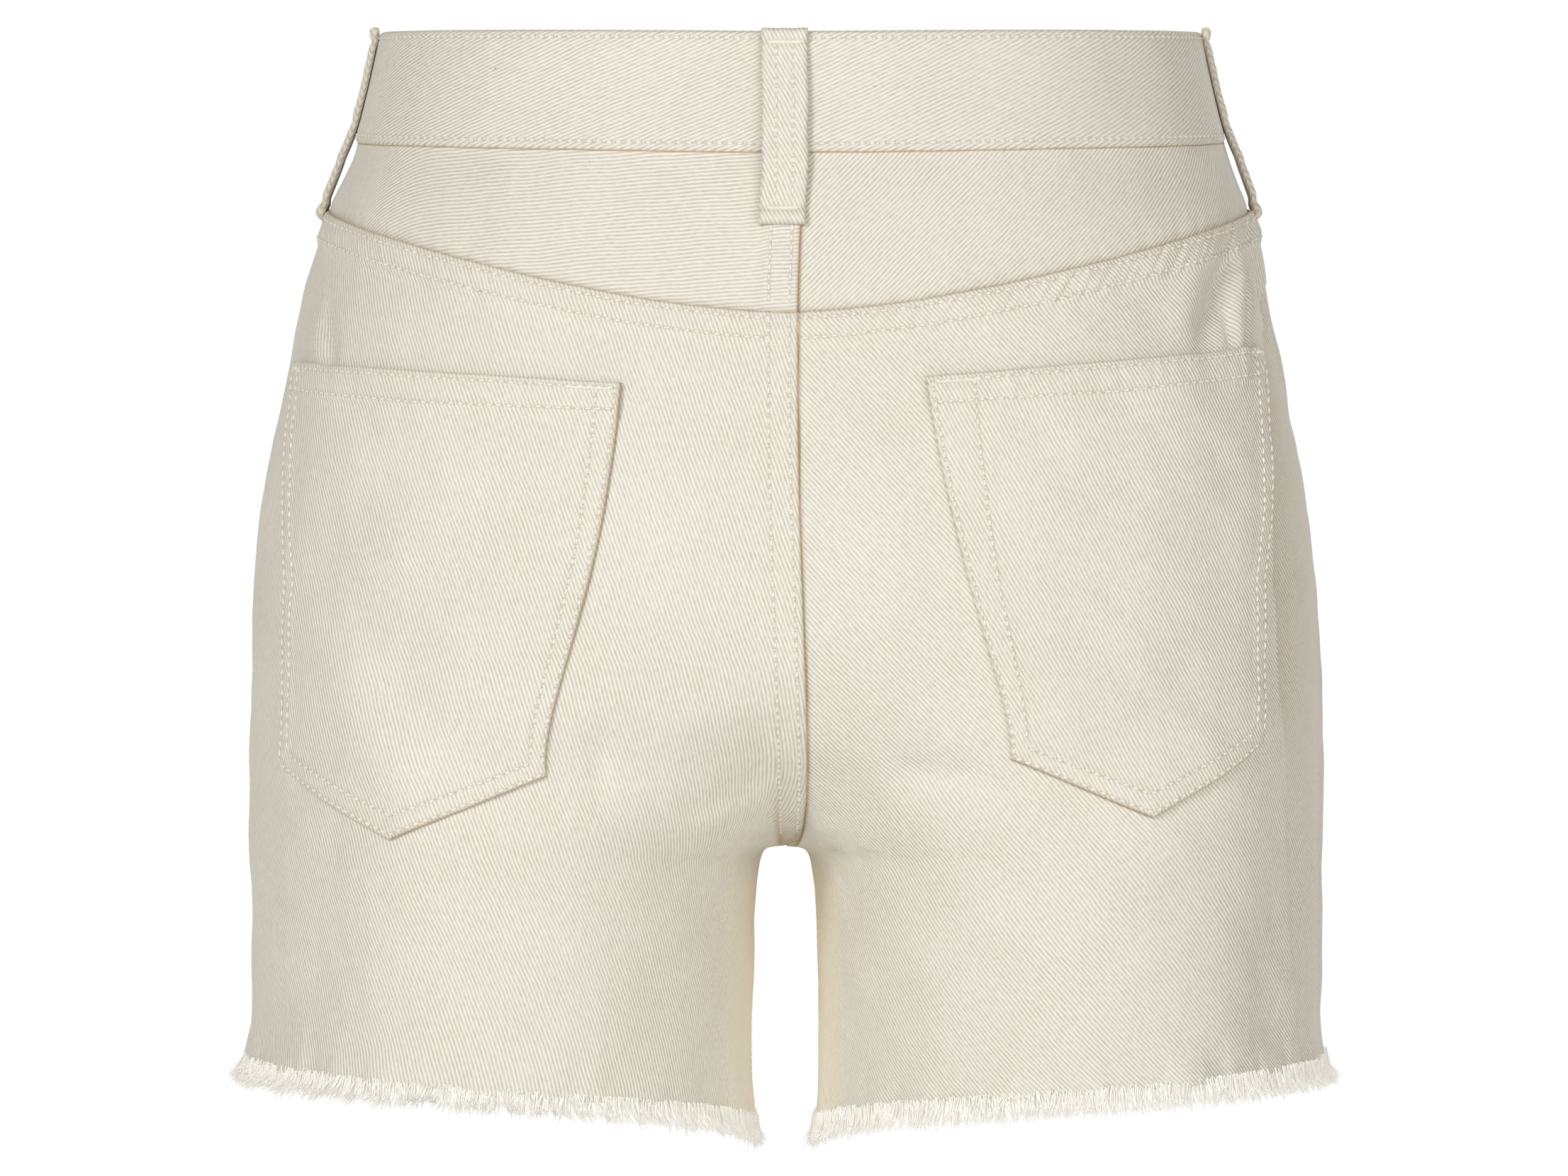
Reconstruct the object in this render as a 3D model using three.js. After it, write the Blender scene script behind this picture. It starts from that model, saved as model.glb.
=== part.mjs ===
// Cut-off denim shorts with a high waist, worn shape, hollow, all sizes in millimetres.
// The origin is the middle of the waistband. +X is the wearer's left, -Y the front, +Z up.
// "Drop" is the distance straight down from the level of the waistband's top at the sides.
// "Along" is the distance round the cloth from the side seam, positive towards the back.
// "Share" is the part of the way from the centre line, or the inseam, to the side seam.
import * as THREE from "three";

// Driving sizes
const ORIGIN_DROP = 20;
const WAIST_DROP_BACK = 4.9;
const WAIST_DROP_SIDE = -0.8;
const WAIST_DROP_FRONT = 14;
const BAND_HEIGHT_CENTRE = 38.4;
const BAND_HEIGHT_SIDE = 35;
const WAIST_SHIFT = -1.6;
const YOKE_DROP_CENTRE = 94;
const YOKE_DROP_SIDE = 57;
const CROTCH_DROP = 263.5;
const RISE_CURVE_HEIGHT = 85;
const HEM_DROP_SIDE = 331.5;
const HEM_DROP_INSEAM = 353.3;
const LEG_GAP = 11.8;
const LEG_GAP_ROUNDING = 4.6;
const SIDE_SEAM_ANGLE = -0.12;

// Cloth and seams
const CLOTH = 1.2;
const SEAM_GAP = 0.3;
const BAND_OUT = 1.0;
const BAND_THICKNESS = 2.4;
const STEP = CLOTH + SEAM_GAP;

// The garment's outline at each drop: half width seen from the back, furthest back and front,
// depth of the widest place, squareness, and how softly the cloth bridges the centre line.
const OUTLINE = [
  { drop: -12, side: 128.8, back: 91, front: -91, middle: -2, power: 2.1, bridge: 8 },
  { drop: 0, side: 130.4, back: 93, front: -92, middle: -1, power: 2.12, bridge: 8 },
  { drop: 20, side: 134.6, back: 96, front: -94, middle: 0, power: 2.16, bridge: 8 },
  { drop: 40, side: 140.2, back: 100, front: -96.5, middle: 2, power: 2.22, bridge: 9 },
  { drop: 62, side: 149.6, back: 105.5, front: -99.5, middle: 5, power: 2.32, bridge: 10 },
  { drop: 91, side: 155.4, back: 112, front: -102.5, middle: 8, power: 2.44, bridge: 14 },
  { drop: 118, side: 162, back: 117, front: -104.5, middle: 9, power: 2.48, bridge: 18 },
  { drop: 147, side: 168, back: 120.5, front: -106, middle: 8, power: 2.46, bridge: 22 },
  { drop: 179, side: 171.6, back: 121, front: -106, middle: 5, power: 2.38, bridge: 25 },
  { drop: 217, side: 173.1, back: 118, front: -104, middle: 1, power: 2.28, bridge: 20 },
  { drop: 263, side: 173, back: 112.5, front: -102, middle: -1, power: 2.18, bridge: 9 },
  { drop: 298, side: 173, back: 110, front: -101, middle: -1, power: 2.12, bridge: 9 },
  { drop: 328, side: 173.4, back: 109.5, front: -101, middle: -1, power: 2.1, bridge: 9 },
  { drop: 364, side: 178, back: 111.5, front: -103, middle: -1, power: 2.1, bridge: 9 },
];

// Large soft folds. Half is +1 for the wearer's left. Turn is the fold's lean from upright, in
// degrees, positive leaning towards the front at the top. A negative height is a trough.
const FOLDS = [
  { half: 1, along: 30, drop: 92, turn: 4, length: 44, width: 7, height: 1.1 },
  { half: 1, along: 16, drop: 96, turn: -6, length: 50, width: 8, height: -1.2 },
  { half: -1, along: 42, drop: 88, turn: -24, length: 46, width: 7, height: -1.9 },
  { half: -1, along: 31, drop: 90, turn: -6, length: 42, width: 6, height: 1.7 },
  { half: -1, along: 22, drop: 92, turn: 3, length: 44, width: 6, height: -2.0 },
  { half: -1, along: 10, drop: 94, turn: 6, length: 46, width: 7, height: 1.5 },
  { half: 1, along: 158, drop: 232, turn: 38, length: 66, width: 13, height: -2.6 },
  { half: 1, along: 132, drop: 222, turn: 46, length: 76, width: 15, height: 1.6 },
  { half: -1, along: 160, drop: 236, turn: 42, length: 60, width: 12, height: -2.2 },
  { half: -1, along: 128, drop: 250, turn: 58, length: 84, width: 14, height: 1.4 },
  { half: 1, along: 104, drop: 300, turn: -6, length: 96, width: 17, height: -1.8 },
  { half: 1, along: 52, drop: 282, turn: 3, length: 120, width: 15, height: 1.5 },
  { half: 1, along: 22, drop: 268, turn: 0, length: 130, width: 12, height: -1.7 },
  { half: -1, along: 92, drop: 304, turn: 4, length: 90, width: 14, height: -1.8 },
  { half: -1, along: 56, drop: 296, turn: -4, length: 104, width: 13, height: 1.5 },
  { half: -1, along: 26, drop: 262, turn: -2, length: 130, width: 11, height: -2.1 },
  { half: -1, along: 8, drop: 258, turn: 0, length: 130, width: 9, height: 1.5 },
  { half: 1, along: -58, drop: 288, turn: 5, length: 96, width: 15, height: -1.7 },
  { half: -1, along: -64, drop: 284, turn: -4, length: 100, width: 16, height: -1.8 },
  { half: 1, along: -96, drop: 246, turn: -52, length: 74, width: 12, height: -2.0 },
  { half: -1, along: -98, drop: 244, turn: -50, length: 70, width: 12, height: -2.0 },
];

// Smooth reading of one column of a table that is sorted by drop.
function read(table, column, drop) {
  const last = table.length - 1;
  let i = 0;
  while (i < last - 1 && table[i + 1].drop < drop) i += 1;
  const span = table[i + 1].drop - table[i].drop;
  const t = Math.min(Math.max((drop - table[i].drop) / span, 0), 1);
  const slope = (a, b) => (table[b][column] - table[a][column]) / (table[b].drop - table[a].drop);
  const here = slope(i, i + 1);
  const before = i > 0 ? (slope(i - 1, i) + here) / 2 : here;
  const after = i + 2 <= last ? (here + slope(i + 1, i + 2)) / 2 : here;
  const a = table[i][column];
  const b = table[i + 1][column];
  const ease = t * t * (3 - 2 * t);
  return a + (b - a) * ease + span * (t * (1 - t) ** 2 * before - t * t * (1 - t) * after);
}

const mix = (a, b, t) => a + (b - a) * t;
const clamp = (x, low, high) => Math.min(Math.max(x, low), high);
const smooth = (t) => clamp(t, 0, 1) ** 2 * (3 - 2 * clamp(t, 0, 1));
const RAD = Math.PI / 180;

// The section of one half of the garment: a rounded box whose centre moves from the garment's
// centre line, at the top of the rise curve, out to the middle of the leg at the crotch.
function shapeAt(drop) {
  const bridge = read(OUTLINE, "bridge", drop);
  const plain = (x) => Math.sqrt(x * x + bridge * bridge) - bridge;
  const outer = plain(read(OUTLINE, "side", drop));
  const below = drop - CROTCH_DROP;
  let inner;
  if (below > 0) {
    inner = plain(LEG_GAP * Math.sqrt(below / (below + LEG_GAP_ROUNDING)));
  } else {
    const part = clamp(1 + below / RISE_CURVE_HEIGHT, 0, 1);
    inner = (outer * (part - 1)) / (part + 1);
  }
  const back = read(OUTLINE, "back", drop);
  const front = read(OUTLINE, "front", drop);
  const middle = read(OUTLINE, "middle", drop);
  return {
    bridge,
    power: read(OUTLINE, "power", drop),
    centre: (outer + inner) / 2,
    reach: (outer - inner) / 2,
    middle,
    back: back - middle,
    front: middle - front,
  };
}

// Below zero inside the cloth's outer surface and above zero outside it.
function outside(x, y, drop) {
  const s = shapeAt(drop);
  const plain = Math.sqrt(x * x + s.bridge * s.bridge) - s.bridge;
  const deep = y > s.middle ? s.back : s.front;
  const across = Math.abs((plain - s.centre) / s.reach) ** s.power;
  return across + Math.abs((y - s.middle) / deep) ** s.power - 1;
}

const SECTION_STEPS = 240;
const sections = new Map();

// Points of one half's section with the distance of each from the side seam.
function section(drop) {
  const key = Math.round(drop * 1e4);
  if (sections.has(key)) return sections.get(key);
  const s = shapeAt(drop);
  const share = clamp(s.centre / s.reach, 0, 1);
  const end = Math.acos(-(share ** (s.power / 2)));
  const points = [];
  for (let i = 0; i <= SECTION_STEPS; i += 1) {
    const angle = end * Math.cos((Math.PI * i) / SECTION_STEPS);
    const c = Math.cos(angle);
    const n = Math.sin(angle);
    const plain = Math.max(s.centre + s.reach * Math.sign(c) * Math.abs(c) ** (2 / s.power), 0);
    const deep = n > 0 ? s.back : s.front;
    points.push({
      angle,
      x: Math.sqrt(plain * plain + 2 * s.bridge * plain),
      y: s.middle + deep * Math.sign(n) * Math.abs(n) ** (2 / s.power),
      along: 0,
    });
  }
  for (let i = 1; i <= SECTION_STEPS; i += 1) {
    const far = Math.hypot(points[i].x - points[i - 1].x, points[i].y - points[i - 1].y);
    points[i].along = points[i - 1].along - far;
  }
  const at = points.findIndex((p) => p.angle <= SIDE_SEAM_ANGLE);
  const a = points[at - 1];
  const b = points[at];
  const seam = mix(a.along, b.along, (SIDE_SEAM_ANGLE - a.angle) / (b.angle - a.angle));
  for (const p of points) p.along -= seam;
  const made = { points, back: points[0].along, front: points[SECTION_STEPS].along };
  sections.set(key, made);
  return made;
}

function foldHeight(half, along, drop) {
  let height = 0;
  for (const f of FOLDS) {
    if (f.half !== half) continue;
    const c = Math.cos(f.turn * RAD);
    const n = Math.sin(f.turn * RAD);
    const a = along - f.along;
    const d = drop - f.drop;
    const down = d * c + a * n;
    const over = a * c - d * n;
    const lengthwise = Math.exp(-((down / (f.length / 2)) ** 4));
    height += f.height * lengthwise * Math.exp(-((over / f.width) ** 2));
  }
  return height;
}

// The waist sits a little to the wearer's right of the legs' middle, down to the yoke.
const SHIFT_FADE_START = 42;
const SHIFT_FADE = 52;
const shiftAt = (drop) => WAIST_SHIFT * (1 - smooth((drop - SHIFT_FADE_START) / SHIFT_FADE));

// The point of the cloth at a distance from the side seam, moved out along the cloth's normal.
// Past the centre line of the trunk it runs on over the other half, and round a leg it closes.
function cloth(half, drop, along, out) {
  const s = section(drop);
  const whole = s.back - s.front;
  if (along > s.back || along < s.front) {
    const end = along > s.back ? s.back : s.front;
    if (drop < CROTCH_DROP) return cloth(-half, drop, 2 * end - along, out);
    return cloth(half, drop, along > s.back ? along - whole : along + whole, out);
  }
  let low = 0;
  let high = SECTION_STEPS;
  while (high - low > 1) {
    const mid = (low + high) >> 1;
    if (s.points[mid].along > along) low = mid;
    else high = mid;
  }
  const a = s.points[low];
  const b = s.points[high];
  const t = (along - a.along) / (b.along - a.along || 1);
  const x = mix(a.x, b.x, t);
  const y = mix(a.y, b.y, t);
  const h = 0.2;
  const normal = new THREE.Vector3(
    outside(x + h, y, drop) - outside(x - h, y, drop),
    outside(x, y + h, drop) - outside(x, y - h, drop),
    outside(x, y, drop - h) - outside(x, y, drop + h),
  ).normalize();
  const far = out + foldHeight(half, along, drop);
  return new THREE.Vector3(
    half * (x + normal.x * far) + shiftAt(drop),
    y + normal.y * far,
    ORIGIN_DROP - drop + normal.z * far,
  );
}

// Keeps a panel of one half on its own side of the centre line.
function keptSide(half, p) {
  const middle = shiftAt(ORIGIN_DROP - p.z);
  p.x = middle + half * Math.max(half * (p.x - middle), SEAM_GAP / 2);
  return p;
}

// Edges of the pieces, each as a drop at a share of the way from the centre to the side seam.
const waistTopBack = (share) => mix(WAIST_DROP_BACK, WAIST_DROP_SIDE, share ** 1.7);
const waistTopFront = (share) => mix(WAIST_DROP_FRONT, WAIST_DROP_SIDE, smooth(share));
const bandHeight = (share) => mix(BAND_HEIGHT_CENTRE, BAND_HEIGHT_SIDE, share * share);
const underBandBack = (share) => waistTopBack(share) + bandHeight(share) + SEAM_GAP;
const underBandFront = (share) => waistTopFront(share) + bandHeight(share) + SEAM_GAP;
const yokeSeam = (share) =>
  mix(YOKE_DROP_CENTRE, YOKE_DROP_SIDE, 0.2 * share + 0.8 * smooth(1.06 * share));
const hemDrop = (share) => mix(HEM_DROP_SIDE, HEM_DROP_INSEAM, (1 - share) ** 1.75);

// The front pocket's opening, cut from the front panel between the waist and the side seam.
const POCKET_START = 0.54;
const POCKET_DEPTH = 62;
function frontTop(share) {
  const t = clamp((share - POCKET_START) / (1 - POCKET_START), 0, 1);
  return underBandFront(share) + POCKET_DEPTH * Math.sqrt(1 - (1 - t) ** 2);
}

// Rows above the crotch, close together where the rise curve lies flat, and shares of the leg.
const ROWS_ABOVE_CROTCH = [193, 176, 159, 142, 116, 91, 78, 66, 46, 30, 18, 10, 5, 2, 0.5, 0];
const LEG_ROWS = [0.017, 0.075, 0.19, 0.38, 0.66, 1];

// A closed solid from a grid of places: its outer face, its inner face and the rim between.
function wall(columns, rows, outer, inner) {
  const position = [];
  for (const layer of [outer, inner]) {
    for (let j = 0; j <= rows; j += 1) {
      for (let i = 0; i <= columns; i += 1) position.push(...layer(i, j).toArray());
    }
  }
  const wide = columns + 1;
  const inside = wide * (rows + 1);
  const at = (i, j) => j * wide + i;
  const index = [];
  const quad = (a, b, c, d) => index.push(a, b, c, a, c, d);
  for (let j = 0; j < rows; j += 1) {
    for (let i = 0; i < columns; i += 1) {
      quad(at(i, j), at(i + 1, j), at(i + 1, j + 1), at(i, j + 1));
      quad(
        inside + at(i, j),
        inside + at(i, j + 1),
        inside + at(i + 1, j + 1),
        inside + at(i + 1, j),
      );
    }
  }
  const rim = [];
  for (let i = 0; i < columns; i += 1) rim.push(at(i, 0));
  for (let j = 0; j < rows; j += 1) rim.push(at(columns, j));
  for (let i = columns; i > 0; i -= 1) rim.push(at(i, rows));
  for (let j = rows; j > 0; j -= 1) rim.push(at(0, j));
  rim.forEach((a, i) => {
    const b = rim[(i + 1) % rim.length];
    quad(a, inside + a, inside + b, b);
  });
  return solid(position, index);
}

// A geometry from points and triangles, turned so that its faces point out.
function solid(position, index) {
  const p = (i) => new THREE.Vector3(...position.slice(3 * i, 3 * i + 3));
  let volume = 0;
  for (let i = 0; i < index.length; i += 3) {
    volume += p(index[i]).dot(p(index[i + 1]).cross(p(index[i + 2])));
  }
  if (volume < 0) index.reverse();
  const geometry = new THREE.BufferGeometry();
  geometry.setAttribute("position", new THREE.Float32BufferAttribute(position, 3));
  geometry.setIndex(index);
  geometry.computeVertexNormals();
  return geometry;
}

const ECRU = 0xe9e4d3;
const FRAY = 0xf3f1ea;
const denim = () => new THREE.MeshStandardMaterial({ color: ECRU, roughness: 0.95, metalness: 0 });
const fray = () => new THREE.MeshStandardMaterial({ color: FRAY, roughness: 1, metalness: 0 });
const steel = () =>
  new THREE.MeshStandardMaterial({ color: 0xb9b5ab, roughness: 0.38, metalness: 1 });

const shorts = new THREE.Group();
function add(name, geometry, material = denim()) {
  const mesh = new THREE.Mesh(geometry, material);
  mesh.name = name;
  shorts.add(mesh);
  return mesh;
}

// The fly. The left front laps over the right one at the centre, down to the foot of the fly.
const FLY_FOOT_DROP = 197;
const FLY_PAST_CENTRE = 5;
const FLY_EASE = 16;
const FLY_FLAT = 2.5;
const LAP_END_DROP = 184.5;
const LAP_EASE = 11;
const flyLap = (half, drop) => (half > 0 ? smooth((LAP_END_DROP - drop) / LAP_EASE) : 0);
const flyLift = (half, drop) => (half > 0 ? smooth((FLY_FOOT_DROP - drop) / LAP_EASE) : 0);

// A place on a front panel at a share from the centre edge to the side seam.
const FRONT_SHARES = [
  0, 0.012, 0.07, 0.14, 0.22, 0.31, 0.4, 0.48, 0.54, 0.556, 0.6, 0.68, 0.77, 0.85, 0.93, 1,
];
function frontPlace(half, drop, share, out) {
  const front = section(drop).front;
  const lap = flyLap(half, drop);
  const edge = front + mix(SEAM_GAP / 2, -FLY_PAST_CENTRE, lap);
  const plain = mix(front + SEAM_GAP / 2, -SEAM_GAP / 2, share);
  const along = share === 0 ? edge : plain;
  const fromCentre = along - front;
  const rise = STEP * flyLift(half, drop) * (1 - smooth((fromCentre - FLY_FLAT) / FLY_EASE));
  const p = cloth(half, drop, along, out + rise);
  return lap > 0 && share === 0 ? p : keptSide(half, p);
}

// Drops of a front panel's rows at a share of its width, from its top edge to its hem.
function frontRows(share) {
  const crotch = CROTCH_DROP - 12 * share * share;
  const rows = [frontTop(share)];
  for (const above of ROWS_ABOVE_CROTCH) {
    const t = 1 - above / (CROTCH_DROP - frontTop(0));
    rows.push(mix(frontTop(share), crotch, t));
  }
  for (const t of LEG_ROWS) rows.push(mix(crotch, hemDrop(share), t));
  return rows;
}

function frontPanel(half) {
  const rows = FRONT_SHARES.map(frontRows);
  const layer = (out) => (i, j) => frontPlace(half, rows[i][j], FRONT_SHARES[i], out);
  return wall(FRONT_SHARES.length - 1, rows[0].length - 1, layer(0), layer(-CLOTH));
}

// The back pockets: five-sided, with a straight mouth and a pointed foot. Near is the distance
// of the inner edge from the centre seam and far that of the outer edge from the side seam.
const BACK_POCKETS = {
  left: {
    mouth: { near: 51, nearDrop: 116.3, far: 58, farDrop: 107.8 },
    bow: { near: -5, far: 7 },
    foot: { near: 81, nearDrop: 239.1, far: 86, farDrop: 236.5 },
    point: 259,
  },
  right: {
    mouth: { near: 43.6, nearDrop: 114.4, far: 68, farDrop: 103 },
    bow: { near: -3, far: 4 },
    foot: { near: 74.6, nearDrop: 233.8, far: 103, farDrop: 229 },
    point: 251.8,
  },
};

// A back panel's grid follows its pocket, so that the pocket lies on the panel's own faces.
const CENTRE_COLUMNS = 7;
const POCKET_COLUMNS = 8;
const SIDE_COLUMNS = 4;
const BACK_COLUMNS = CENTRE_COLUMNS + POCKET_COLUMNS + SIDE_COLUMNS;
const TOP_ROWS = 2;
const POCKET_ROWS = 8;
const CENTRE_DROPS_BELOW = [246, 253.5, 258.5, 261.5, 263, CROTCH_DROP];
const FOOT_ROWS = CENTRE_DROPS_BELOW.length + LEG_ROWS.length;
const BACK_ROWS = TOP_ROWS + POCKET_ROWS + FOOT_ROWS;
const MOUTH_DROP_CENTRE = 119;
const MOUTH_DROP_SIDE = 104;
const FOOT_DROP_CENTRE = 234;
const FOOT_DROP_SIDE = 240;

// A value at a column, from its values at the centre, the pocket's two edges and the side.
function acrossColumns(i, centre, near, far, side) {
  if (i <= CENTRE_COLUMNS) return mix(centre, near, i / CENTRE_COLUMNS);
  const past = i - CENTRE_COLUMNS;
  if (past <= POCKET_COLUMNS) return mix(near, far, past / POCKET_COLUMNS);
  return mix(far, side, (past - POCKET_COLUMNS) / SIDE_COLUMNS);
}

// Distance from the side seam of a grid place at one drop.
function backAlong(pocket, i, j, drop) {
  const down = clamp((j - TOP_ROWS) / POCKET_ROWS, 0, 1);
  const bowed = 4 * down * (1 - down);
  const back = section(drop).back;
  const seat = section(Math.min(drop, pocket.foot.nearDrop)).back;
  const near = seat - mix(pocket.mouth.near, pocket.foot.near, down) - pocket.bow.near * bowed;
  const far = mix(pocket.mouth.far, pocket.foot.far, down) + pocket.bow.far * bowed;
  return acrossColumns(i, back - SEAM_GAP / 2, near, far, SEAM_GAP / 2);
}

function backDrop(pocket, i, j) {
  const { mouth, foot, point } = pocket;
  const share = (drop) => 1 - backAlong(pocket, i, j, drop) / section(drop).back;
  const mouthDrop = acrossColumns(
    i,
    MOUTH_DROP_CENTRE,
    mouth.nearDrop,
    mouth.farDrop,
    MOUTH_DROP_SIDE,
  );
  if (j < TOP_ROWS) {
    return mix(yokeSeam(share(YOKE_DROP_CENTRE)) + SEAM_GAP / 2, mouthDrop, j / TOP_ROWS);
  }
  const flat = acrossColumns(
    i,
    FOOT_DROP_CENTRE,
    foot.nearDrop,
    foot.farDrop,
    FOOT_DROP_SIDE,
  );
  const across = clamp((i - CENTRE_COLUMNS) / POCKET_COLUMNS, 0, 1);
  const pointBelow = point - (foot.nearDrop + foot.farDrop) / 2;
  const footDrop = flat + pointBelow * (1 - Math.abs(2 * across - 1));
  const below = j - TOP_ROWS - POCKET_ROWS;
  if (below <= 0) return mix(mouthDrop, footDrop, (j - TOP_ROWS) / POCKET_ROWS);
  const legRow = below - CENTRE_DROPS_BELOW.length;
  const hem = hemDrop(share(HEM_DROP_SIDE));
  const atCentre =
    legRow > 0 ? mix(CROTCH_DROP, hem, LEG_ROWS[legRow - 1]) : CENTRE_DROPS_BELOW[below - 1];
  const even = mix(footDrop, hem, below / FOOT_ROWS);
  return mix(atCentre, even, Math.sqrt(clamp(i / CENTRE_COLUMNS, 0, 1)));
}

function backPlace(half, i, j, out) {
  const pocket = half > 0 ? BACK_POCKETS.left : BACK_POCKETS.right;
  const drop = backDrop(pocket, i, j);
  return keptSide(half, cloth(half, drop, backAlong(pocket, i, j, drop), out));
}

function backPanel(half) {
  const layer = (out) => (i, j) => backPlace(half, i, j, out);
  return wall(BACK_COLUMNS, BACK_ROWS, layer(0), layer(-CLOTH));
}

function backPocket(half) {
  const layer = (out) => (i, j) => backPlace(half, i + CENTRE_COLUMNS, j + TOP_ROWS, out);
  return wall(POCKET_COLUMNS, POCKET_ROWS, layer(STEP), layer(SEAM_GAP));
}

// The yoke, a wedge between the waistband and the back panel, with the panel's own columns.
const YOKE_ROWS = 4;
function yoke(half) {
  const pocket = half > 0 ? BACK_POCKETS.left : BACK_POCKETS.right;
  const layer = (out) => (i, j) => {
    const shareAt = (drop) => 1 - backAlong(pocket, i, 0, drop) / section(drop).back;
    const top = underBandBack(shareAt(BAND_HEIGHT_CENTRE));
    const seam = yokeSeam(shareAt(YOKE_DROP_CENTRE)) - SEAM_GAP / 2;
    const drop = mix(top, seam, j / YOKE_ROWS);
    return keptSide(half, cloth(half, drop, backAlong(pocket, i, 0, drop), out));
  };
  return wall(BACK_COLUMNS, YOKE_ROWS, layer(0), layer(-CLOTH));
}

// The denim facing behind the front pocket's opening. It carries on down as the pocket's bag.
const FACING_FIRST = 6;
const FACING_BELOW = 64;
const FACING_CLEARANCE = 0.4;
function frontPocket(half) {
  const shares = FRONT_SHARES.slice(FACING_FIRST);
  const columns = shares.length - 1;
  const rows = 8;
  const layer = (out) => (i, j) => {
    const t = (2 * (shares[i] - shares[0])) / (1 - shares[0]) - 1;
    const round = FACING_BELOW * Math.sqrt(1 - Math.min(t ** 4, 1));
    const top = underBandFront(shares[i]);
    const drop = mix(top, top + POCKET_DEPTH + 8 + round, j / rows);
    return frontPlace(half, drop, shares[i], out);
  };
  const face = -STEP - FACING_CLEARANCE;
  return wall(columns, rows, layer(face), layer(face - CLOTH));
}

// The underlap, behind both sides of the fly.
const UNDERLAP_WIDTH = 24;
function flyUnderlap() {
  const columns = 4;
  const rows = 12;
  const layer = (out) => (i, j) => {
    const drop = mix(underBandFront(0), FLY_FOOT_DROP, j / rows);
    const x = mix(-UNDERLAP_WIDTH, UNDERLAP_WIDTH, i / columns);
    return cloth(1, drop, section(drop).front + x, out);
  };
  const face = -STEP - FACING_CLEARANCE;
  return wall(columns, rows, layer(face), layer(face - CLOTH));
}

// The waistband: one strip from the underlap's end, round the back, to the buttonhole's end.
const BAND_UNDERLAP = 32;
const BAND_PAST_CENTRE = 12;
const BAND_LIFT = BAND_THICKNESS + SEAM_GAP;
const LIFT_START = 52;
const LIFT_LENGTH = 14;
function bandPlace(t, height, out) {
  const middle = section(ORIGIN_DROP);
  const backShare = middle.back / (middle.back - middle.front);
  const half = middle.back - middle.front;
  const walked = mix(-half - BAND_UNDERLAP, half + BAND_PAST_CENTRE, t);
  const side = walked < 0 ? -1 : 1;
  const fromBack = Math.abs(walked);
  const folded = fromBack > half ? 2 * half - fromBack : fromBack;
  const part = folded / half;
  const share = part < backShare ? part / backShare : (1 - part) / (1 - backShare);
  const top = part < backShare ? waistTopBack(share) : waistTopFront(share);
  const drop = top + height * bandHeight(share);
  const here = section(drop);
  const flat = (part < backShare ? here.back : here.front) * (1 - share);
  const along = fromBack > half ? 2 * here.front - flat : flat;
  const lift = BAND_LIFT * smooth((walked - (half - LIFT_START)) / LIFT_LENGTH);
  return cloth(side, drop, along, out + lift);
}
function waistband() {
  const columns = 84;
  const rows = 2;
  const layer = (out) => (i, j) => bandPlace(i / columns, j / rows, out);
  return wall(columns, rows, layer(BAND_OUT), layer(BAND_OUT - BAND_THICKNESS));
}

// A belt loop: a strap folded under and tacked at both ends, clear of the band between them.
const LOOP_WIDTH = 14.7;
const LOOP_LENGTH = 62;
const LOOP_STRAP = 1.7;
const LOOP_TACK = 5.5;
const LOOP_PROFILE = [
  { down: 0, out: LOOP_STRAP - 0.1 },
  { down: 1.2, out: LOOP_STRAP + 0.9 },
  { down: 7, out: LOOP_STRAP + 1.5 },
  { down: 20, out: LOOP_STRAP + 2.6 },
  { down: 40, out: LOOP_STRAP + 2.4 },
  { down: 54, out: LOOP_STRAP + 0.9 },
  { down: LOOP_LENGTH - 1.2, out: LOOP_STRAP + 0.9 },
  { down: LOOP_LENGTH, out: LOOP_STRAP - 0.1 },
];
function beltLoop(half, top, alongAt) {
  const columns = 2;
  const rows = LOOP_PROFILE.length - 1;
  const bandEdge = top + BAND_HEIGHT_CENTRE;
  const layer = (face) => (i, j) => {
    const { down, out } = LOOP_PROFILE[j];
    const drop = top + down;
    const base = drop < bandEdge ? BAND_OUT + SEAM_GAP : SEAM_GAP;
    const straight = mix(BAND_OUT + SEAM_GAP, SEAM_GAP, down / LOOP_LENGTH);
    const tacked = down < LOOP_TACK || down > LOOP_LENGTH - LOOP_TACK;
    const under = tacked ? base : straight + out - LOOP_STRAP;
    const far = face === "outer" ? straight + out : under;
    const x = LOOP_WIDTH * (i / columns - 0.5);
    return cloth(half, drop, alongAt(drop) + x, far);
  };
  return wall(columns, rows, layer("outer"), layer("inner"));
}

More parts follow.
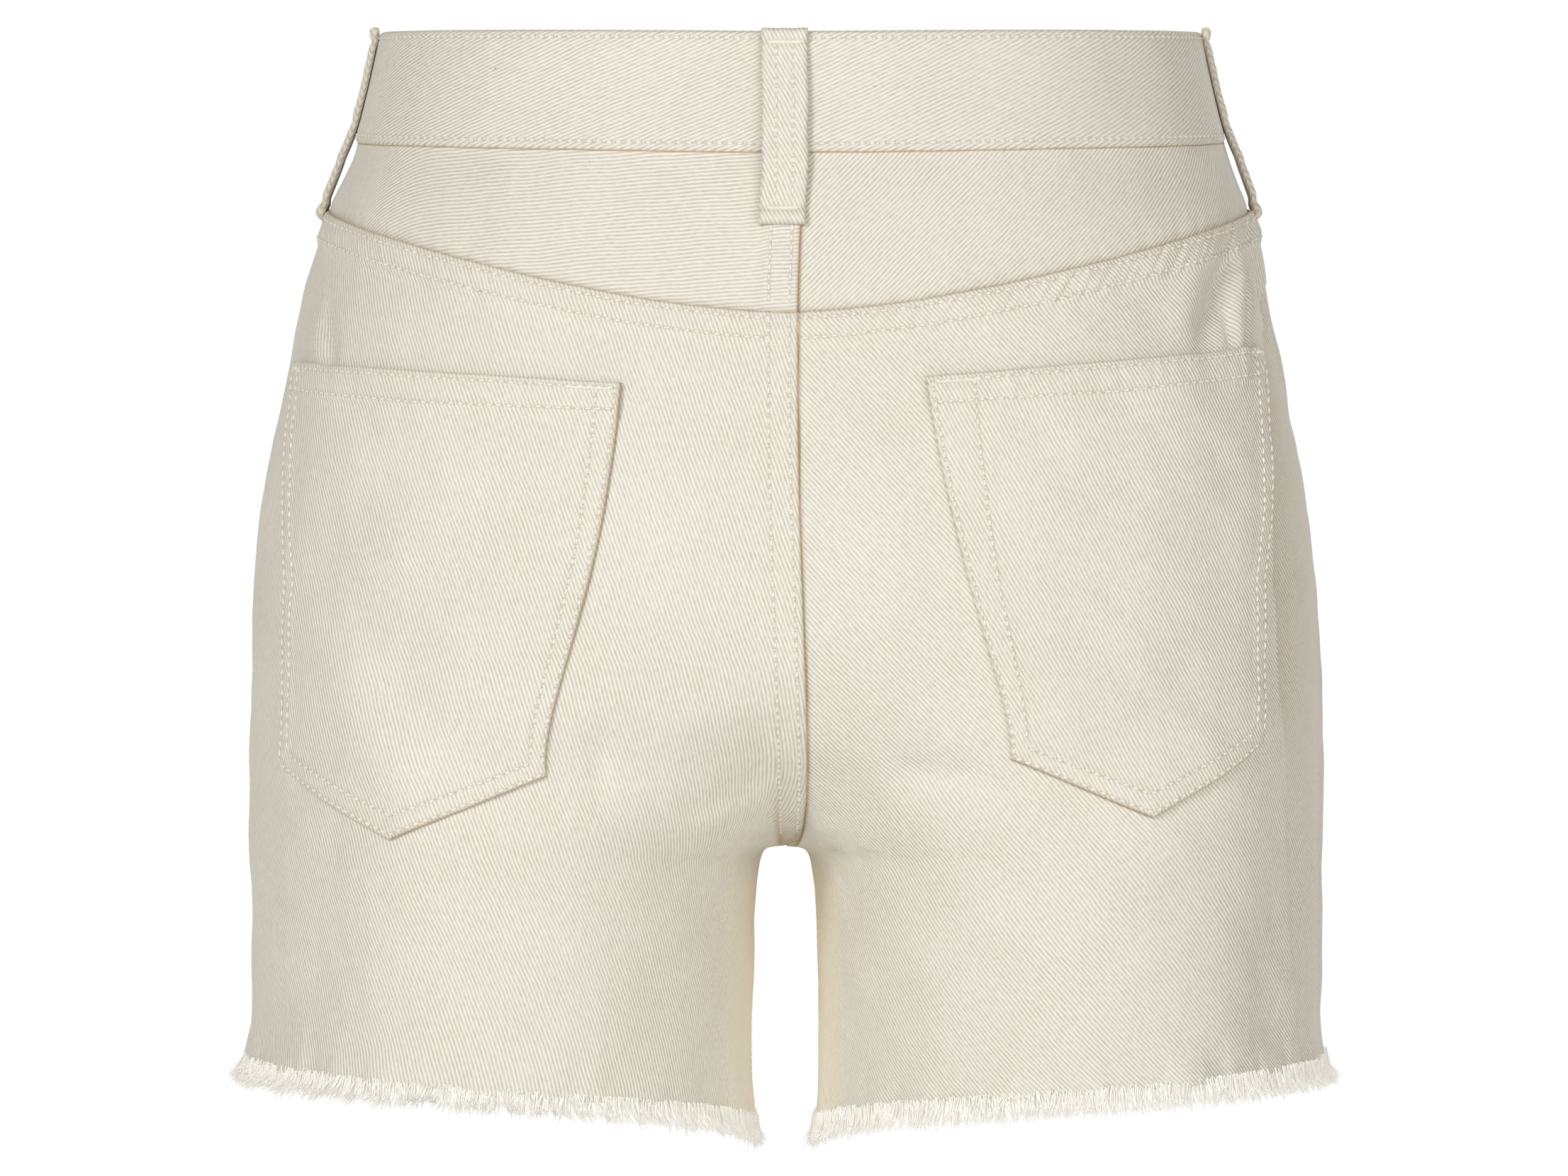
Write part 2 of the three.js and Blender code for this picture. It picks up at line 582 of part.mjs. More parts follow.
// A frayed hem: a thin strip under the cloth's edge, closed round the leg, with hanging locks.
const LOCKS = 96;
const LOCK_SHARE = 0.74;
const STRIP_HEIGHT = 1.3;
const FRAY_THICKNESS = 1.1;
const LOCK_LENGTH = 6.6;
function hemFray(half) {
  const position = [];
  const index = [];
  const quad = (a, b, c, d) => index.push(a, b, c, a, c, d);
  const point = (turn, below, out) => {
    const round = turn - Math.floor(turn);
    const share = round < 0.5 ? 2 * round : 2 - 2 * round;
    const drop = hemDrop(share) + SEAM_GAP + below;
    const s = section(drop);
    const along = round < 0.5 ? mix(s.back, 0, share) : mix(s.front, 0, share);
    position.push(...cloth(half, drop, along, out).toArray());
    return position.length / 3 - 1;
  };
  const cuts = [];
  for (let k = 0; k < LOCKS; k += 1) {
    for (const share of [0, LOCK_SHARE]) {
      const turn = (k + share) / LOCKS;
      cuts.push([
        point(turn, 0, 0),
        point(turn, 0, -FRAY_THICKNESS),
        point(turn, STRIP_HEIGHT, -FRAY_THICKNESS),
        point(turn, STRIP_HEIGHT, 0),
      ]);
    }
  }
  cuts.forEach((a, i) => {
    const b = cuts[(i + 1) % cuts.length];
    quad(a[0], b[0], b[1], a[1]);
    quad(a[1], b[1], b[2], a[2]);
    quad(a[3], b[3], b[0], a[0]);
    if (i % 2 === 1) {
      quad(a[2], b[2], b[3], a[3]);
      return;
    }
    const k = i / 2;
    const wave = Math.sin(2.3 * k) + 0.6 * Math.sin(0.71 * k + half);
    const long = STRIP_HEIGHT + LOCK_LENGTH + 1.5 * wave;
    const lean = 0.3 * Math.sin(1.7 * k + half) * LOCK_SHARE;
    const out = 0.7 + 0.7 * Math.sin(0.9 * k);
    const start = (k + lean + 0.2 * LOCK_SHARE) / LOCKS;
    const stop = (k + lean + 0.8 * LOCK_SHARE) / LOCKS;
    const tip = [
      point(start, long, out),
      point(start, long, out - FRAY_THICKNESS / 2),
      point(stop, long, out - FRAY_THICKNESS / 2),
      point(stop, long, out),
    ];
    quad(a[2], b[2], tip[2], tip[1]);
    quad(b[2], b[3], tip[3], tip[2]);
    quad(b[3], a[3], tip[0], tip[3]);
    quad(a[3], a[2], tip[1], tip[0]);
    quad(tip[0], tip[1], tip[2], tip[3]);
  });
  return solid(position, index);
}

// The waist button: a domed metal cap with a rolled rim, standing on the band.
const BUTTON_RADIUS = 8.5;
const BUTTON_PROFILE = [
  [0, 0],
  [3.2, 0],
  [3.2, 0.9],
  [7.4, 1.1],
  [BUTTON_RADIUS, 1.9],
  [8.2, 2.9],
  [7.0, 3.2],
  [6.2, 2.8],
  [3.4, 3.3],
  [0, 3.5],
];
function button() {
  const profile = BUTTON_PROFILE.map(([r, h]) => new THREE.Vector2(r, h));
  const mesh = add("waist_button", new THREE.LatheGeometry(profile, 28), steel());
  const half = section(ORIGIN_DROP).back - section(ORIGIN_DROP).front;
  const place = (2 * half + BAND_UNDERLAP) / (2 * half + BAND_UNDERLAP + BAND_PAST_CENTRE);
  const foot = bandPlace(place, 0.5, BAND_OUT + SEAM_GAP);
  const up = bandPlace(place, 0.5, BAND_OUT + SEAM_GAP + 1).sub(foot);
  mesh.position.copy(foot);
  mesh.quaternion.setFromUnitVectors(new THREE.Vector3(0, 1, 0), up.normalize());
}

const CENTRE_LOOP_OFFSET = 1.8;
const SIDE_LOOP_ALONG = 16;
const FRONT_LOOP_SHARE = 0.47;

add("waistband", waistband());
button();
for (const [name, half] of [
  ["left", 1],
  ["right", -1],
]) {
  add("yoke_" + name, yoke(half));
  add("back_" + name, backPanel(half));
  add("front_" + name, frontPanel(half));
  add("back_pocket_" + name, backPocket(half));
  add("front_pocket_" + name, frontPocket(half));
  add("belt_loop_side_" + name, beltLoop(half, WAIST_DROP_SIDE, () => SIDE_LOOP_ALONG));
  const frontLoop = (drop) => section(drop).front * (1 - FRONT_LOOP_SHARE);
  add("belt_loop_front_" + name, beltLoop(half, waistTopFront(FRONT_LOOP_SHARE), frontLoop));
  add("hem_fray_" + name, hemFray(half), fray());
}
const centreLoop = (drop) => section(drop).back - CENTRE_LOOP_OFFSET;
add("belt_loop_back", beltLoop(1, WAIST_DROP_BACK, centreLoop));
add("fly_underlap", flyUnderlap());

export default shorts;
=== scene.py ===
import logging
import math
from collections.abc import Callable
from dataclasses import dataclass, field
from enum import IntEnum

import bpy
import numpy as np
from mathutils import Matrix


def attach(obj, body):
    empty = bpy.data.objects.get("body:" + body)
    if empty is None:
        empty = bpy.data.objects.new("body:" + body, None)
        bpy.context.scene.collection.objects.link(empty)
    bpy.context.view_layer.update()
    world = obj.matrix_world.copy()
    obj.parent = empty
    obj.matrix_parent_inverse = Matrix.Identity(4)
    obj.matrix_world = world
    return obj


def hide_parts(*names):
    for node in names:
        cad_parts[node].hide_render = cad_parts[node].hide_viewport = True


# Cut-off denim shorts, filled out with no wearer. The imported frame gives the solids, and this
# script dresses each of them: cloth shells with seams and creases, thread by thread stitching,
# frayed hems, belt loops and the waist button. Shape sizes are in millimetres, turned to metres
# where a point is made. "Drop" runs down from the waistband's top at the sides, "along" runs
# round the cloth from the side seam towards the back, and "from centre" runs from the centre
# seam, or from the inseam on the legs.
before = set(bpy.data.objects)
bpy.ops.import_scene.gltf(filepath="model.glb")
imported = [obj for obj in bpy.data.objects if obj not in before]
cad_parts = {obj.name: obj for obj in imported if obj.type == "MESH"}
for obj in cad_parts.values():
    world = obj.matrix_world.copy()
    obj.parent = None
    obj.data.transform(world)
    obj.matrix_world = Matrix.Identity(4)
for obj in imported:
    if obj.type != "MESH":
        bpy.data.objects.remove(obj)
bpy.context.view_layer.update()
log = logging.getLogger("shorts")

MM = 0.001
NEAR_COLUMNS = 16.0
FAR_COLUMNS = 56.0
SEAM_HALF_GAP = 0.15
HEM_REACH = 16.0
SEW_STEP = 0.8
ROW_DENT = 0.24
BODY = "root"
Array = np.ndarray


class Side(IntEnum):
    """The wearer's left or right half of the garment, with the sign of its x."""

    LEFT = 1
    RIGHT = -1

    @property
    def label(self) -> str:
        """The side, in words."""
        return self.name.lower()


def clamp(value: Array, low: float, high: float) -> Array:
    """Limit values to a range."""
    return np.minimum(np.maximum(value, low), high)


def smooth(value: Array) -> Array:
    """Ease from 0 to 1 with level ends."""
    t = clamp(value, 0.0, 1.0)
    return t * t * (3.0 - 2.0 * t)


def ease_in(value: Array, start: float, length: float) -> Array:
    """Ease from 0 at a start to 1 at a length past it."""
    return smooth((value - start) / length)


def ease_out(value: Array, start: float, length: float) -> Array:
    """Ease from 1 at a start to 0 at a length past it."""
    return 1.0 - smooth((value - start) / length)


def bell(distance: Array, width: float) -> Array:
    """Rounded bump, 1 in its middle."""
    return np.exp(-((distance / width) ** 2))


def mix(a: Array, b: Array, t: Array) -> Array:
    """Blend from a to b."""
    return a + (b - a) * t


def unit(vectors: Array) -> Array:
    """Vectors of length one in the same directions."""
    return vectors / (np.linalg.norm(vectors, axis=-1)[..., None] + 1e-12)


def groove(distance: Array, rows: tuple[float, ...], half_width: float = 0.85) -> Array:
    """Depth pattern of stitch rows, 1 in the middle of each row.

    Args:
        distance: Distance from the piece's edge, in millimetres.
        rows: Distances of the stitch rows from the same edge.
        half_width: Half width of the dent that a row pulls into the cloth.

    Returns:
        Values from 0 to 1.
    """
    total = np.zeros(np.shape(distance))
    for row in rows:
        total = total + bell(distance - row, half_width)
    return total


def ripple(position: Array, pitch: float, seed: int) -> Array:
    """Uneven waves along a line, with no repeat that shows.

    Args:
        position: Distance along the line, in millimetres.
        pitch: Mean wave length, in millimetres.
        seed: Number that picks the pattern.

    Returns:
        Values from about -1 to 1.
    """
    rng = np.random.default_rng(seed)
    total = np.zeros(np.shape(position))
    for share in (0.61, 0.87, 1.0, 1.27, 1.73):
        phase = rng.uniform(0.0, 2.0 * math.pi)
        total = total + np.sin(2.0 * math.pi * position / (pitch * share) + phase)
    return total / 3.4


def unevenness(a: Array, b: Array, pitch: float, seed: int) -> Array:
    """Soft two-way unevenness of hand-finished cloth.

    Args:
        a: First cloth coordinate, in millimetres.
        b: Second cloth coordinate, in millimetres.
        pitch: Mean distance from bump to bump.
        seed: Number that picks the pattern.

    Returns:
        Values from about -1 to 1.
    """
    rng = np.random.default_rng(seed)
    total = np.zeros(np.broadcast(a, b).shape)
    for _ in range(7):
        turn = rng.uniform(0.0, math.pi)
        long = pitch * rng.uniform(0.7, 1.6)
        phase = rng.uniform(0.0, 2.0 * math.pi)
        line = a * math.cos(turn) + b * math.sin(turn)
        total = total + np.sin(2.0 * math.pi * line / long + phase)
    return total / 4.0


def stations(length: float, start: float, end: float, fine: float, coarse: float) -> Array:
    """Distances of grid lines across a piece, close together at its edges.

    Args:
        length: Whole distance across.
        start: Depth of the close lines at the start.
        end: Depth of the close lines at the end.
        fine: Spacing of the close lines.
        coarse: Spacing in between.

    Returns:
        Rising distances from 0 to length.
    """
    lip = np.array([0.0, 0.25, 0.6])
    head = np.linspace(1.0, start, max(int(round((start - 1.0) / fine)), 1) + 1)
    tail = length - np.linspace(end, 1.0, max(int(round((end - 1.0) / fine)), 1) + 1)
    count = max(int(round((length - start - end) / coarse)), 1)
    middle = np.linspace(start, length - end, count + 1)[1:-1]
    return np.concatenate([lip, head, middle, tail, length - lip[::-1]])


@dataclass(frozen=True)
class Level:
    """The garment's outline at one drop, in millimetres."""

    drop: float
    side: float
    back: float
    front: float
    middle: float
    power: float
    bridge: float


@dataclass(frozen=True)
class Fold:
    """A soft ridge in the cloth, or a trough where its height is below zero.

    Its half is that of Side, by number.
    """

    half: int
    along: float
    drop: float
    turn: float
    length: float
    width: float
    height: float


LEVELS = (
    Level(-12, 130.4, 91, -91, -2, 2.1, 8),
    Level(0, 132, 93, -92, -1, 2.12, 8),
    Level(20, 136.2, 96, -94, 0, 2.16, 8),
    Level(40, 141.4, 100, -96.5, 2, 2.22, 9),
    Level(62, 150, 105.5, -99.5, 5, 2.32, 10),
    Level(91, 155.4, 112, -102.5, 8, 2.44, 14),
    Level(118, 162, 117, -104.5, 9, 2.48, 18),
    Level(147, 168, 120.5, -106, 8, 2.46, 22),
    Level(179, 171.6, 121, -106, 5, 2.38, 25),
    Level(217, 173.1, 118, -104, 1, 2.28, 20),
    Level(263, 173, 112.5, -102, -1, 2.18, 9),
    Level(298, 173, 110, -101, -1, 2.12, 9),
    Level(328, 173.4, 109.5, -101, -1, 2.1, 9),
    Level(364, 178, 111.5, -103, -1, 2.1, 9),
)

FOLDS = (
    Fold(1, 30, 92, 4, 44, 7, 1.1),
    Fold(1, 16, 96, -6, 50, 8, -1.2),
    Fold(-1, 42, 88, -24, 46, 7, -1.9),
    Fold(-1, 31, 90, -6, 42, 6, 1.7),
    Fold(-1, 22, 92, 3, 44, 6, -2.0),
    Fold(-1, 10, 94, 6, 46, 7, 1.5),
    Fold(1, 158, 232, 38, 66, 13, -2.6),
    Fold(1, 132, 222, 46, 76, 15, 1.6),
    Fold(-1, 160, 236, 42, 60, 12, -2.2),
    Fold(-1, 128, 250, 58, 84, 14, 1.4),
    Fold(1, 104, 300, -6, 96, 17, -1.8),
    Fold(1, 52, 282, 3, 120, 15, 1.5),
    Fold(1, 22, 268, 0, 130, 12, -1.7),
    Fold(-1, 92, 304, 4, 90, 14, -1.8),
    Fold(-1, 56, 296, -4, 104, 13, 1.5),
    Fold(-1, 26, 262, -2, 130, 11, -2.1),
    Fold(-1, 8, 258, 0, 130, 9, 1.5),
    Fold(1, -58, 288, 5, 96, 15, -1.7),
    Fold(-1, -64, 284, -4, 100, 16, -1.8),
    Fold(1, -96, 246, -52, 74, 12, -2.0),
    Fold(-1, -98, 244, -50, 70, 12, -2.0),
    Fold(1, 206, 236, 0, 26, 5.0, -1.6),
    Fold(1, 196, 238, 94, 84, 12.0, -2.6),
    Fold(-1, 198, 239, 87, 84, 11.0, -2.4),
    Fold(-1, 216, 239.5, 90, 32, 4.5, -1.3),
    Fold(1, 76, 99, 45, 26, 3.0, -1.8),
    Fold(1, 70, 102, 45, 22, 3.0, 1.2),
    Fold(-1, 84.6, 88.6, 47, 46, 4.4, -3.6),
    Fold(-1, 96, 84, 44, 42, 4.5, 1.4),
    Fold(-1, 73.5, 89, 33, 42, 4.2, 3.0),
    Fold(-1, 65, 87, 37, 46, 2.4, -2.8),
    Fold(-1, 84, 98, 31, 14, 1.6, -1.4),
    Fold(-1, 55, 88, 43, 34, 4.0, 0.6),
)


@dataclass
class BodyForm:
    """The filled-out form that the cloth follows, the same as that of the solids.

    Each half's section is a rounded box. Its centre moves out from the garment's centre line,
    at the top of the rise curve, to the middle of the leg at the crotch.
    """

    levels: tuple[Level, ...] = LEVELS
    folds: tuple[Fold, ...] = FOLDS
    origin_drop: float = 20.0
    crotch_drop: float = 263.5
    rise_curve: float = 85.0
    leg_gap: float = 11.8
    gap_rounding: float = 4.6
    gap_top: float = 7.3
    gap_corner: float = 0.5
    gap_spread: float = 4.2
    gap_ease: float = 11.0
    gap_reach: float = 4.5
    seam_angle: float = -0.12
    waist_shift: float = -1.6
    shift_fade_start: float = 42.0
    shift_fade: float = 52.0
    grain_drop: float = 205.0
    under_depth: float = 20.0
    under_fade: float = 35.0
    samples: int = 181
    slope_step: float = 0.4
    slope_drop: float = 3.0
    drops: Array = field(init=False)
    back_length: Array = field(init=False)
    front_length: Array = field(init=False)
    places: Array = field(init=False)

    def __post_init__(self) -> None:
        """Work out the sections once, at closely spaced drops."""
        near = self.crotch_drop + np.concatenate([-(np.linspace(0, 3, 60) ** 2), np.linspace(0, 3, 80) ** 2])
        self.drops = np.unique(np.concatenate([np.arange(-14.0, 374.0, 1.0), near]))
        x, y, along = self.sections(self.drops)
        self.back_length = along[:, 0]
        self.front_length = -along[:, -1]
        share = np.linspace(0.0, 1.0, self.samples)
        self.places = np.zeros((2, 2, len(self.drops), self.samples))
        for row in range(len(self.drops)):
            rising = along[row][::-1]
            for side, length in ((0, self.back_length[row]), (1, -self.front_length[row])):
                self.places[side, 0, row] = np.interp(share * length, rising, x[row][::-1])
                self.places[side, 1, row] = np.interp(share * length, rising, y[row][::-1])

    def column(self, name: str, drop: Array) -> Array:
        """Read one column of the outline's table, smoothly.

        Args:
            name: Field of Level to read.
            drop: Drops to read it at.

        Returns:
            The values, in the shape of drop.
        """
        at = np.array([level.drop for level in self.levels], float)
        value = np.array([getattr(level, name) for level in self.levels], float)
        i = np.clip(np.searchsorted(at, drop, side="left") - 1, 0, len(at) - 2)
        slope = np.diff(value) / np.diff(at)
        span = at[i + 1] - at[i]
        t = clamp((drop - at[i]) / span, 0.0, 1.0)
        before = np.where(i > 0, (slope[np.maximum(i - 1, 0)] + slope[i]) / 2, slope[i])
        inside = i + 2 <= len(at) - 1
        after = np.where(inside, (slope[i] + slope[np.minimum(i + 1, len(slope) - 1)]) / 2, slope[i])
        rise = (value[i + 1] - value[i]) * t * t * (3 - 2 * t)
        return value[i] + rise + span * (t * (1 - t) ** 2 * before - t * t * (1 - t) * after)

    def section_shape(self, drop: Array) -> dict[str, Array]:
        """Centre, half width, depths and squareness of one half's section.

        Args:
            drop: Drops of the sections.

        Returns:
            The values by name, each in the shape of drop.
        """
        bridge = self.column("bridge", drop)
        side = self.column("side", drop)
        outer = np.sqrt(side * side + bridge * bridge) - bridge
        below = np.maximum(drop - self.crotch_drop, 0.0)
        gap = self.leg_gap * np.sqrt(below / (below + self.gap_rounding))
        legs = np.sqrt(gap * gap + bridge * bridge) - bridge
        part = clamp(1.0 + (drop - self.crotch_drop) / self.rise_curve, 0.0, 1.0)
        trunk = outer * (part - 1.0) / (part + 1.0)
        inner = np.where(drop > self.crotch_drop, legs, trunk)
        middle = self.column("middle", drop)
        return {
            "bridge": bridge,
            "power": self.column("power", drop),
            "centre": (outer + inner) / 2,
            "reach": (outer - inner) / 2,
            "middle": middle,
            "back": self.column("back", drop) - middle,
            "front": middle - self.column("front", drop),
        }

    def sections(self, drop: Array) -> tuple[Array, Array, Array]:
        """Points of the sections, from the centre back round the side to the centre front.

        Args:
            drop: Drops of the sections, in one row.

        Returns:
            x, y and the distance from the side seam, one section in each row.
        """
        s = {name: value[:, None] for name, value in self.section_shape(drop).items()}
        share = clamp(s["centre"] / s["reach"], 0.0, 1.0)
        end = np.arccos(-(share ** (s["power"] / 2)))
        angle = end * np.cos(np.pi * np.linspace(0.0, 1.0, 241))[None, :]
        c = np.cos(angle)
        n = np.sin(angle)
        plain = s["centre"] + s["reach"] * np.sign(c) * np.abs(c) ** (2 / s["power"])
        plain = np.maximum(plain, 0.0)
        x = np.sqrt(plain * plain + 2 * s["bridge"] * plain)
        x = x + self.squared_gap(drop)[:, None] * np.exp(-(x - x[:, :1]) / self.gap_reach)
        deep = np.where(n > 0, s["back"], s["front"])
        y = s["middle"] + deep * np.sign(n) * np.abs(n) ** (2 / s["power"])
        step = np.hypot(np.diff(x, axis=1), np.diff(y, axis=1))
        along = np.concatenate([np.zeros((len(x), 1)), -np.cumsum(step, axis=1)], axis=1)
        for row in range(len(x)):
            along[row] -= np.interp(-self.seam_angle, -angle[row], along[row])
        return x, y, along

    def squared_gap(self, drop: Array) -> Array:
        """Distance that the inseam moves out, so that the gap between the legs has a level top."""
        below = np.maximum(drop - self.crotch_drop, 0.0)
        plain = self.leg_gap * np.sqrt(below / (below + self.gap_rounding))
        square = self.gap_top * np.sqrt(below / (below + self.gap_corner))
        return square + self.gap_spread * below / (below + self.gap_ease) - plain

    def back(self, drop: Array) -> Array:
        """Distance from the side seam to the centre back, or to the inseam on a leg."""
        return np.interp(drop, self.drops, self.back_length)

    def front(self, drop: Array) -> Array:
        """Distance from the side seam to the centre front, or to the inseam on a leg."""
        return np.interp(drop, self.drops, self.front_length)

    def share(self, along: Array, drop: Array) -> Array:
        """Share of the way from the centre line, or from the inseam, to the side seam."""
        length = np.where(along >= 0, self.back(drop), self.front(drop))
        return clamp(1.0 - np.abs(along) / length, 0.0, 1.0)

    def grain(self, along: Array, drop: Array) -> Array:
        """Place across the cloth from its straight grain at the centre, towards the side."""
        level = np.minimum(drop, self.grain_drop)
        return np.where(along >= 0, self.back(level) - along, self.front(level) + along)

    def shift(self, drop: Array) -> Array:
        """Sideways place of the trunk's middle."""
        return self.waist_shift * ease_out(drop, self.shift_fade_start, self.shift_fade)

    def outside(self, x: Array, y: Array, drop: Array) -> Array:
        """Field that is below zero inside the form and above zero outside it."""
        s = self.section_shape(drop)
        plain = np.sqrt(x * x + s["bridge"] ** 2) - s["bridge"]
        deep = np.where(y > s["middle"], s["back"], s["front"])
        across = np.abs((plain - s["centre"]) / s["reach"]) ** s["power"]
        return across + np.abs((y - s["middle"]) / deep) ** s["power"] - 1.0

    def fold_height(self, half: Array, along: Array, drop: Array) -> Array:
        """Height that the folds add to the cloth at each place."""
        height = np.zeros(np.shape(along))
        for fold in self.folds:
            turn = math.radians(fold.turn)
            a = along - fold.along
            d = drop - fold.drop
            down = d * math.cos(turn) + a * math.sin(turn)
            over = a * math.cos(turn) - d * math.sin(turn)
            shape = np.exp(-((down / (fold.length / 2)) ** 4)) * bell(over, fold.width)
            height = height + np.where(half == fold.half, fold.height * shape, 0.0)
        return height

    def surface(self, half: Side, along: Array, drop: Array) -> tuple[Array, Array, Array, Array, Array]:
        """Places on the form itself, with no folds and no sideways shift.

        Past the centre line of the trunk they run on over the other half, and round a leg
        they close.

        Args:
            half: Side of the garment.
            along: Distances from the side seam, positive towards the back.
            drop: Drops of the places.

        Returns:
            The half that each place lies on, its distance from the garment's middle, its
            depth, its own distance from the side seam and its distance from the centre.
        """
        back = self.back(drop)
        front = self.front(drop)
        past_back = along > back
        past = past_back | (along < -front)
        trunk = drop < self.crotch_drop
        mirrored = np.where(past_back, 2 * back - along, -2 * front - along)
        wrapped = np.where(past_back, along - back - front, along + back + front)
        along = np.where(past, np.where(trunk, mirrored, wrapped), along)
        side = np.where(past & trunk, -half, half)
        length = np.where(along >= 0, back, front)
        share = clamp(np.abs(along) / length, 0.0, 1.0)
        row = np.clip(np.searchsorted(self.drops, drop) - 1, 0, len(self.drops) - 2)
        t_row = clamp((drop - self.drops[row]) / (self.drops[row + 1] - self.drops[row]), 0.0, 1.0)
        place = share * (self.samples - 1)
        col = np.clip(place.astype(int), 0, self.samples - 2)
        t_col = place - col
        part = np.where(along >= 0, 0, 1)
        x, y = (
            mix(
                mix(self.places[part, k, row, col], self.places[part, k, row, col + 1], t_col),
                mix(self.places[part, k, row + 1, col], self.places[part, k, row + 1, col + 1], t_col),
                t_row,
            )
            for k in (0, 1)
        )
        return side, x, y, along, length - np.abs(along)

    def points(self, half: Side, along: Array, drop: Array, out: Array) -> Array:
        """Points of the cloth, moved out along its normal.

        The normal comes from the form's own field near the centre line, where the cloth
        turns under, and from the slope of the cloth everywhere else.

        Args:
            half: Side of the garment.
            along: Distances from the side seam, positive towards the back.
            drop: Drops of the points.
            out: Distances outwards from the form.

        Returns:
            Points in metres, with x, y and z last.
        """
        along, drop, out = (a.astype(float) for a in np.broadcast_arrays(along, drop, out))
        side, x, y, folded, centre = self.surface(half, along, drop)
        h = self.slope_step
        deep = self.slope_drop
        near = np.stack(
            [
                side * (self.outside(x + h, y, drop) - self.outside(x - h, y, drop)),
                self.outside(x, y + h, drop) - self.outside(x, y - h, drop),
                h / deep * (self.outside(x, y, drop - deep) - self.outside(x, y, drop + deep)),
            ],
            axis=-1,
        )
        round_step = self.step(half, along, drop, 1.0, 0.0)
        down_step = self.step(half, along, drop, 0.0, 2.0)
        far = half * np.cross(down_step, round_step)
        outer = ease_in(centre, self.under_depth, self.under_fade)[..., None]
        normal = unit(mix(unit(near), unit(far), outer))
        raised = (out + self.fold_height(side, folded, drop))[..., None]
        place = np.stack([side * x + self.shift(drop), y, self.origin_drop - drop], axis=-1)
        return MM * (place + normal * raised)

    def step(self, half: Side, along: Array, drop: Array, across: float, down: float) -> Array:
        """Difference between two places of the form on either side of a place."""
        ends = []
        for sign in (1.0, -1.0):
            side, x, y, _, _ = self.surface(half, along + sign * across, drop + sign * down)
            ends.append(np.stack([side * x, y, -(drop + sign * down)], axis=-1))
        return ends[0] - ends[1]


@dataclass(frozen=True)
class Cut:
    """Where the pieces end, as drops at a share of the way from the centre to the side."""

    waist_back: float = 4.9
    waist_side: float = -0.8
    waist_front: float = 14.0
    band_centre: float = 38.4
    band_side: float = 35.0
    yoke_centre: float = 94.0
    yoke_side: float = 57.0
    hem_side: float = 331.5
    hem_inseam: float = 353.3
    pocket_start: float = 0.54
    pocket_depth: float = 62.0
    fly_foot: float = 197.0

    def waist(self, share: Array, at_back: Array) -> Array:
        """Drop of the waistband's top edge."""
        back = mix(self.waist_back, self.waist_side, share**1.7)
        front = mix(self.waist_front, self.waist_side, smooth(share))
        return np.where(at_back, back, front)

    def band_height(self, share: Array) -> Array:
        """Height of the waistband."""
        return mix(self.band_centre, self.band_side, share * share)

    def band_foot(self, share: Array, at_back: Array) -> Array:
        """Drop of the waistband's lower edge."""
        return self.waist(share, at_back) + self.band_height(share)

    def yoke(self, share: Array) -> Array:
        """Drop of the seam between the yoke and the back panel."""
        return mix(self.yoke_centre, self.yoke_side, 0.2 * share + 0.8 * smooth(1.06 * share))

    def hem(self, share: Array) -> Array:
        """Drop of the cloth's raw edge at the foot of a leg."""
        return mix(self.hem_side, self.hem_inseam, (1.0 - clamp(share, 0.0, 1.0)) ** 1.75)

    def front_top(self, share: Array) -> Array:
        """Drop of a front panel's top edge, with the pocket's scoop."""
        t = clamp((share - self.pocket_start) / (1.0 - self.pocket_start), 0.0, 1.0)
        scoop = self.pocket_depth * np.sqrt(1.0 - (1.0 - t) ** 2)
        return self.band_foot(share, np.array(False)) + scoop


FORM = BodyForm()
CUT = Cut()


class NodeTree:
    """Small helper that adds shader nodes and links them."""

    def __init__(self, name: str) -> None:
        """Start an empty material of that name."""
        self.material = bpy.data.materials.new(name)
        self.material.use_nodes = True
        self.tree = self.material.node_tree
        self.tree.nodes.clear()

    def add(self, kind: str, **values: object) -> bpy.types.Node:
        """Add a node and set its sockets.

        Args:
            kind: Node type.
            **values: Node properties, or sockets by name or by in0, in1 and so on.

        Returns:
            The node.
        """
        node = self.tree.nodes.new(kind)
        for name, value in values.items():
            if hasattr(node, name):
                setattr(node, name, value)
                continue
            key = int(name[2:]) if name[:2] == "in" and name[2:].isdigit() else name.replace("_", " ")
            socket = node.inputs[key]
            if isinstance(value, bpy.types.NodeSocket):
                self.tree.links.new(value, socket)
            else:
                socket.default_value = value
        return node

    def math(self, operation: str, a: object, b: object = 0.0, c: object = 0.5) -> bpy.types.NodeSocket:
        """Add a math node and give its result."""
        return self.add("ShaderNodeMath", operation=operation, in0=a, in1=b, in2=c).outputs[0]

    def blend(self, factor: object, a: object, b: object) -> bpy.types.NodeSocket:
        """Add a colour mix and give its result."""
        node = self.add("ShaderNodeMix", data_type="RGBA")
        for index, value in ((0, factor), (6, a), (7, b)):
            if isinstance(value, bpy.types.NodeSocket):
                self.tree.links.new(value, node.inputs[index])
            else:
                node.inputs[index].default_value = value
        return node.outputs[2]

    def finish(self, surface: bpy.types.NodeSocket) -> bpy.types.Material:
        """Link the surface to the output and give the material."""
        out = self.add("ShaderNodeOutputMaterial")
        self.tree.links.new(surface, out.inputs["Surface"])
        return self.material


